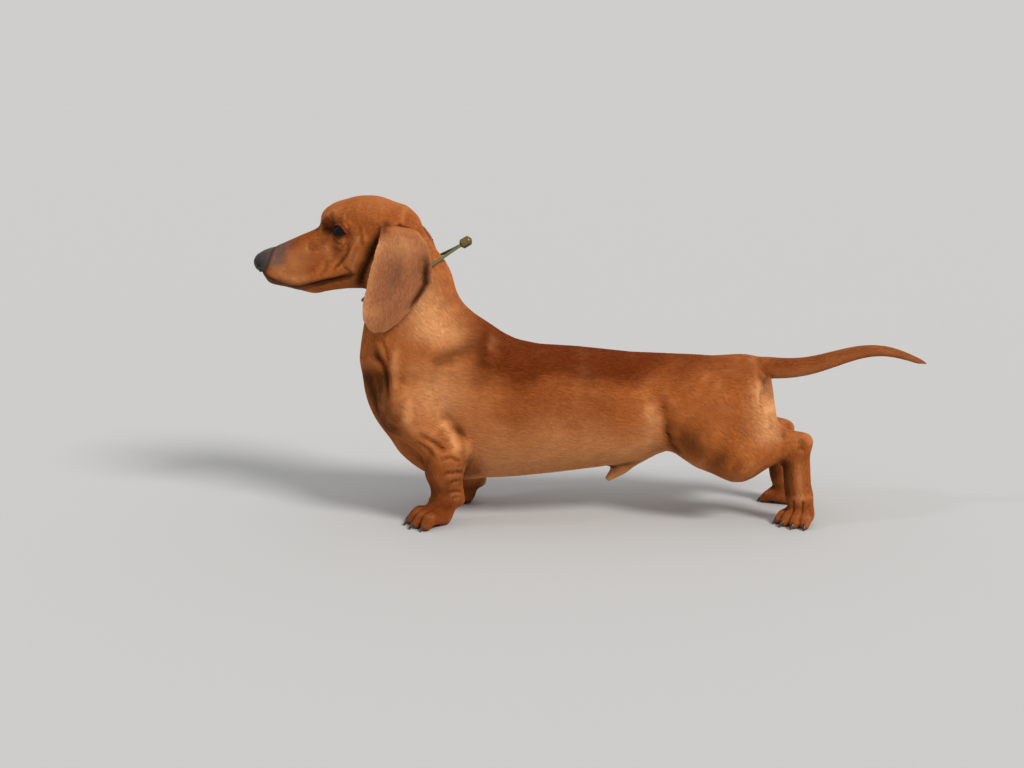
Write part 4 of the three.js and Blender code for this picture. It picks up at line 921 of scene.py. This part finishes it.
class DACHSHUND_OT_coat(bpy.types.Operator):
    """Thin tufts of short hair that lie along the skin on every side"""

    bl_idname = "dachshund.coat"
    bl_label = "Coat"

    def execute(self, context):
        settings = context.scene.dachshund
        skin = bpy.data.objects["dachshund_skin"]
        mesh = skin.data
        unwrap_skin(context, skin)
        p, n = read(mesh), normals_of(mesh)
        mesh.calc_loop_triangles()
        tri, loops = [fetch(mesh.loop_triangles, key, 3, np.int64) for key in ("vertices", "loops")]
        uv = fetch(mesh.uv_layers["unwrap"].data, "uv", 2)[loops]
        first, second, third = [p[tri[:, k]] for k in (0, 1, 2)]
        area = 0.5 * np.linalg.norm(np.cross(second - first, third - first), axis=1)
        every = np.broadcast_to(np.eye(3)[0], (len(tri), 3))
        share, bare, lid = [on_roots(mesh, k, tri, every) for k in ("hair", "bare", "lid")]
        # short hair needs more tufts, bare skin and the rims of the lids have none
        chance = area * ((1 - ramp(bare, 0.25, 0.5)) / np.maximum(share, 0.35) ** 1.4 * ramp(lid, 1.2, 2.2))
        draw = np.random.default_rng(settings.seed)
        count = settings.tufts // 1
        pick = draw.choice(len(tri), count, p=chance / chance.sum())
        a, b = draw.random(count), draw.random(count)
        flip = a + b > 1
        a[flip], b[flip] = 1 - a[flip], 1 - b[flip]
        weight = np.stack([1 - a - b, a, b], 1)
        root = (p[tri[pick]] * weight[:, :, None]).sum(1)
        normal = unit((n[tri[pick]] * weight[:, :, None]).sum(1))
        root_uv = (uv[pick] * weight[:, :, None]).sum(1)
        hair, way = [on_roots(mesh, k, tri[pick], weight) for k in ("hair", "way")]
        length = settings.hair_length / MM * hair * draw.uniform(0.75, 1.2, count)
        wide = settings.hair_width / MM * np.clip(hair, 0.5, 1) * draw.uniform(0.7, 1.25, count)
        x, y, z = root.T
        drift = 0.1 * np.sin(x * 0.13 + z * 0.09) + 0.07 * np.sin(z * 0.31 + y * 0.2)
        way = unit(way - (way * normal).sum(1)[:, None] * normal)
        way = unit(way + np.cross(normal, way) * (drift + draw.normal(0, 0.1, count))[:, None])
        across = np.cross(normal, way)
        lift = PROUD + length * draw.uniform(0.0, 0.05, count)
        surface = BVHTree.FromPolygons(p.tolist(), tri.tolist())
        tip = np.empty((count, 3))
        for i, goal in enumerate((root + way * length[:, None]).tolist()):
            at, out, _, _ = surface.find_nearest(goal)
            tip[i] = at + out * lift[i]
        # a thin closed sliver: two root corners under the skin, a ridge, and a tip
        half, sunk = across * (wide * 0.5)[:, None], normal * SUNK
        ridge = root + (tip - root) * 0.35 + normal * (0.07 + 0.1 * wide)[:, None]
        sliver = np.stack([root + half - sunk, root - half - sunk, ridge, tip], 1)
        sliver[:, :, 2] = np.maximum(sliver[:, :, 2], OFF_GROUND)
        faces = np.array([[0, 2, 1], [0, 3, 2], [1, 2, 3], [0, 1, 3]])
        patch = np.array([[0.0, 0.0], [1.0, 0.0], [0.5, 0.4], [0.5, 1.0]]) * 0.003  # on the skin's unwrap
        marks = {k: np.repeat(on_roots(mesh, k, tri[pick], weight)[:, None], 4, 1) for k in MARKS}
        marks["strand"] = draw.random(count)[:, None] * 0.7 + np.array([0.0, 0.0, 0.12, 0.3])
        where = coat_places(root)
        finish = coat_finish("short red dog hair", True)
        for index, name in enumerate(COATS):
            mine = where == index
            some = int(mine.sum())
            if not some:
                continue
            if some * 4 > PIECE_FACES:
                raise RuntimeError(f"{name} has {some * 4} triangles")
            made = bpy.data.meshes.new(name)
            made.vertices.add(some * 4)
            made.vertices.foreach_set("co", row(sliver[mine].reshape(-1, 3)).ravel())
            made.loops.add(some * 12)
            made.polygons.add(some * 4)
            index_of = (np.arange(some)[:, None, None] * 4 + faces[None]).reshape(-1)
            made.loops.foreach_set("vertex_index", index_of)
            made.polygons.foreach_set("loop_start", np.arange(some * 4) * 3)
            made.update(calc_edges=True)
            for key, values in marks.items():
                made.attributes.new(key, "FLOAT", "POINT").data.foreach_set("value", values[mine].ravel())
            layer = made.uv_layers.new(name="OFBake")
            spots = root_uv[mine][:, None, None, :] + patch[faces][None]
            layer.data.foreach_set("uv", spots.reshape(-1))
            piece = new_object(name, made, finish)
            made.shade_flat()
            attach(piece, "root")
        return {"FINISHED"}


def unwrap_skin(context, skin):
    """An unwrap of the skin's own shape, which the tufts take their patches from."""
    skin.data.uv_layers.new(name="unwrap")
    for other in context.selected_objects:
        other.select_set(False)
    context.view_layer.objects.active = skin
    skin.select_set(True)
    bpy.ops.object.mode_set(mode="EDIT")
    bpy.ops.mesh.select_all(action="SELECT")
    bpy.ops.uv.smart_project(angle_limit=math.radians(66), island_margin=0.002)
    bpy.ops.object.mode_set(mode="OBJECT")


class DACHSHUND_OT_nose(bpy.types.Operator):
    """The nose leather with its nostrils"""

    bl_idname = "dachshund.nose"
    bl_label = "Nose leather"

    def execute(self, context):
        nose = from_bmesh("nose_leather", copies(["nose"], 0.0))
        mesh = remeshed(nose, 0.00055)
        p = relax(read(mesh), edges_of(mesh), 1.0, 3)
        groove = hill(p[:, 1], 0.8) * ramp(p[:, 0], -268, -273) * ramp(p[:, 2], 306, 301)
        rim = ramp(before_nose(p), 3.5, 0.2)
        write(mesh, p - normals_of(mesh) * (0.9 * groove + 0.6 * rim)[:, None])
        # black pebbles of 0.8 mm, moist enough to glint
        material, tree, shader, leather = patterned(
            "moist nose leather", "TexVoronoi", {"Scale": 1300.0}, "#221c1e", "#0e0b0c", (0.5, 0.0003),
            Roughness=0.38, Specular_IOR_Level=0.25,
        )
        # painted sheen: the leather turns greyer and lighter towards where it meets the hair
        place = put(tree, "TexCoord").outputs["Object"]
        depth = put(tree, "SeparateXYZ", [(place, 0)]).outputs[0]
        low, high = row((-272, 0, 0))[0], row((-257, 0, 0))[0]
        nose_sheen = put(tree, "MapRange", [(depth, "Value")], From_Min=low, From_Max=high, To_Max=0.42).outputs[0]
        links = [(nose_sheen, 0), (leather, 6), (hex_colour("#63534f"), 7)]
        leather = put(tree, "Mix", links, data_type="RGBA").outputs[2]
        tree.links.new(leather, shader.inputs["Base Color"])
        mesh.materials.append(material)
        mesh.shade_smooth()
        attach(nose, "root")
        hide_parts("nose")
        return {"FINISHED"}


class DACHSHUND_OT_eyes(bpy.types.Operator):
    """Dark brown eyes with a clear cornea"""

    bl_idname = "dachshund.eyes"
    bl_label = "Eyes"

    def execute(self, context):
        # near black with a brown rim of iris, wet and smooth, so that it holds one small sharp light
        material, tree, shader, tone = patterned(
            "dark brown eye under clear cornea", "TexNoise", {"Scale": 900.0}, "#0a0503", "#190c07",
            Roughness=0.05, Specular_IOR_Level=0.13,
        )
        own = put(tree, "Attribute", attribute_name="from_pupil").outputs["Fac"]
        shade = hex_colour("#050303")
        for start, end, outer in ((2.6, 3.1, tone), (7.4, 8.4, hex_colour("#0b0807"))):  # mm from the gaze
            share = put(tree, "MapRange", [(own, "Value")], From_Min=start, From_Max=end).outputs[0]
            links = [(share, 0), (shade, 6), (outer, 7)]
            shade = put(tree, "Mix", links, data_type="RGBA").outputs[2]
        tree.links.new(shade, shader.inputs["Base Color"])
        for side, name in zip(SIDES, ("eye_left", "eye_right")):
            bm = bmesh.new()
            radius = context.scene.dachshund.eye_radius
            bmesh.ops.create_uvsphere(bm, u_segments=48, v_segments=32, radius=radius)
            for v in bm.verts:  # the cornea stands a little proud of the ball
                off = math.hypot(v.co.x, v.co.y) / MM
                if v.co.z > 0 and off < CORNEA:
                    v.co.z += 0.55 * MM * (1 - (off / CORNEA) ** 2)
            offs = [math.hypot(v.co.x, v.co.y) / MM if v.co.z > 0 else 20 for v in bm.verts]
            place = set_at(EYE * (1, side, 1), gaze_frame(side)[0])
            bmesh.ops.transform(bm, matrix=place, verts=bm.verts)
            eye = from_bmesh(name + "_ball", bm, material)
            eye.data.attributes.new("from_pupil", "FLOAT", "POINT").data.foreach_set("value", offs)
            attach(eye, "root")
            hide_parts(name)
        return {"FINISHED"}


class DACHSHUND_OT_claws(bpy.types.Operator):
    """Dark horn claws on every toe"""

    bl_idname = "dachshund.claws"
    bl_label = "Claws"

    def execute(self, context):
        whole = bmesh.new()
        for name, (_, _, size) in PAWS.items():
            for toe in toe_lines(name):
                root, tip = toe[3], toe[4]
                start = root + (root - tip) * 0.3
                bend = ((root + tip) / 2 + (0, 0, 1.6 * size)) * 2 - (start + tip) / 2
                rings = []
                for t in np.linspace(0, 1, 9):
                    at = (1 - t) ** 2 * start + 2 * t * (1 - t) * bend + t * t * tip
                    slope = 2 * (1 - t) * (bend - start) + 2 * t * (tip - bend)
                    wide = size * (2.75 - 2.05 * t**1.4) * MM
                    made = bmesh.ops.create_circle(whole, segments=12, radius=wide, matrix=set_at(at, slope))
                    rings.append(made["verts"])
                edges = [[e for v in ring for e in v.link_edges if e.other_vert(v) in ring] for ring in rings]
                for a, b in zip(edges[:-1], edges[1:]):
                    bmesh.ops.bridge_loops(whole, edges=list(set(a)) + list(set(b)))
                for ring in (rings[0], rings[-1]):
                    bmesh.ops.contextual_create(whole, geom=ring)
        bmesh.ops.recalc_face_normals(whole, faces=whole.faces)
        for v in whole.verts:
            v.co.z = max(v.co.z, 0.0001)
        # worn horn: nearly black, with brown clouds of 2 mm and a dull shine
        pattern = {"Scale": 500.0, "Detail": 3.0}
        horn = patterned("dark horn", "TexNoise", pattern, "#1d1511", "#513a2c", Roughness=0.35)[0]
        claws = from_bmesh("claws", whole, horn)
        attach(claws, "root")
        return {"FINISHED"}


class DACHSHUND_OT_collar(bpy.types.Operator):
    """The thin round show collar and the slide that closes it"""

    bl_idname = "dachshund.collar"
    bl_label = "Show collar"

    def execute(self, context):
        # matt cord whose braid shows as slanting strands about 0.8 mm apart
        pattern = {"Scale": 420.0, "Distortion": 2.0, "bands_direction": "DIAGONAL"}
        cord = patterned(
            "braided olive nylon cord", "TexWave", pattern, "#3f4524", "#76794a", (0.8, 0.0004),
            Roughness=0.7,
        )[0]
        # brass that has dulled in patches of 2 mm and shines broadly
        pattern = {"Scale": 600.0, "Detail": 4.0}
        metal = patterned(
            "dull cast brass", "TexNoise", pattern, "#5d5334", "#978a5c", Metallic=1.0, Roughness=0.4
        )[0]
        for name, node, finish, slot in (
            ("collar_cord", "collar", cord, "cord_olive"),
            ("collar_slide_ring", "collar_slide", metal, "slide_metal"),
        ):
            piece = from_bmesh(name, copies([node], 0.0), finish)
            smooth = piece.modifiers.new("round", "SUBSURF")
            smooth.levels = smooth.render_levels = 2 if node == "collar" else 1
            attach(piece, "root")
            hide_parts(node)
        return {"FINISHED"}


CAMERA, LENS, DIP = (24, -1799, 503), 54.5, 10.88  # place, focal length, degrees below level
LIGHTS = (  # place, degrees across, strength, tint
    ("key", (1500, -1500, 1900), 18, 2.6, (1.0, 0.96, 0.9)),
    ("fill", (-1700, -420, 1350), 4.5, 0.3, (0.94, 0.97, 1.0)),
)
LIT = (60, 0, 150)  # what the lights face
GLOW = 0.72  # strength of the light from all round


class DACHSHUND_OT_stage(bpy.types.Operator):
    """Camera at the photo's angle, pale floor and soft studio light"""

    bl_idname = "dachshund.stage"
    bl_label = "Stage"

    def execute(self, context):
        scene = context.scene
        lens = bpy.data.cameras.new("camera")
        lens.lens, lens.sensor_width = LENS, 36
        camera = bpy.data.objects.new("camera", lens)
        camera.location = row(CAMERA)
        camera.rotation_euler = (math.radians(90 - DIP), 0, 0)
        scene.collection.objects.link(camera)
        scene.camera = camera
        bm = bmesh.new()
        bmesh.ops.create_grid(bm, x_segments=8, y_segments=8, size=40)
        # matt paper that holds a soft shadow and melts into the background
        paper = finish_named("pale studio paper", Base_Color=hex_colour("#bcbdbe"), Roughness=0.9)[0]
        floor = from_bmesh("floor", bm, paper)
        for name, place, angle, power, tint in LIGHTS:
            lamp = bpy.data.lights.new(name, "SUN")
            lamp.energy, lamp.angle, lamp.color = power, math.radians(angle), tint
            obj = bpy.data.objects.new(name, lamp)
            obj.location = row(place)
            obj.rotation_euler = (Vector(row(LIT)) - obj.location).to_track_quat("-Z", "Y").to_euler()
            scene.collection.objects.link(obj)
        world = bpy.data.worlds.new("studio")
        world.use_nodes = True
        glow = world.node_tree.nodes["Background"].inputs
        glow[0].default_value, glow[1].default_value = hex_colour("#efeeec"), GLOW
        scene.world = world
        scene.view_settings.view_transform = "Standard"
        return {"FINISHED"}


STEPS = (
    DACHSHUND_OT_stage, DACHSHUND_OT_skin, DACHSHUND_OT_coat, DACHSHUND_OT_nose,
    DACHSHUND_OT_eyes, DACHSHUND_OT_claws, DACHSHUND_OT_collar,
)


class DACHSHUND_PT_panel(bpy.types.Panel):
    bl_label = "Dachshund"
    bl_idname = "DACHSHUND_PT_panel"
    bl_space_type = "VIEW_3D"
    bl_region_type = "UI"
    bl_category = "Dachshund"

    def draw(self, context):
        column = self.layout.column()
        for group in (context.scene.dachshund, context.scene.dachshund_colours):
            for key in group.bl_rna.properties.keys():
                if key not in ("rna_type", "name"):
                    column.prop(group, key)
        for step in STEPS:
            column.operator(step.bl_idname)


CLASSES = (DachshundSettings, DachshundColours, *STEPS, DACHSHUND_PT_panel)


def register():
    for each in CLASSES:
        bpy.utils.register_class(each)
    bpy.types.Scene.dachshund = PointerProperty(type=DachshundSettings)
    bpy.types.Scene.dachshund_colours = PointerProperty(type=DachshundColours)


def unregister():
    del bpy.types.Scene.dachshund_colours
    del bpy.types.Scene.dachshund
    for each in reversed(CLASSES):
        bpy.utils.unregister_class(each)


def main():
    register()
    for step in STEPS:
        group, call = step.bl_idname.split(".")
        getattr(getattr(bpy.ops, group), call)()


if __name__ == "__main__":
    main()
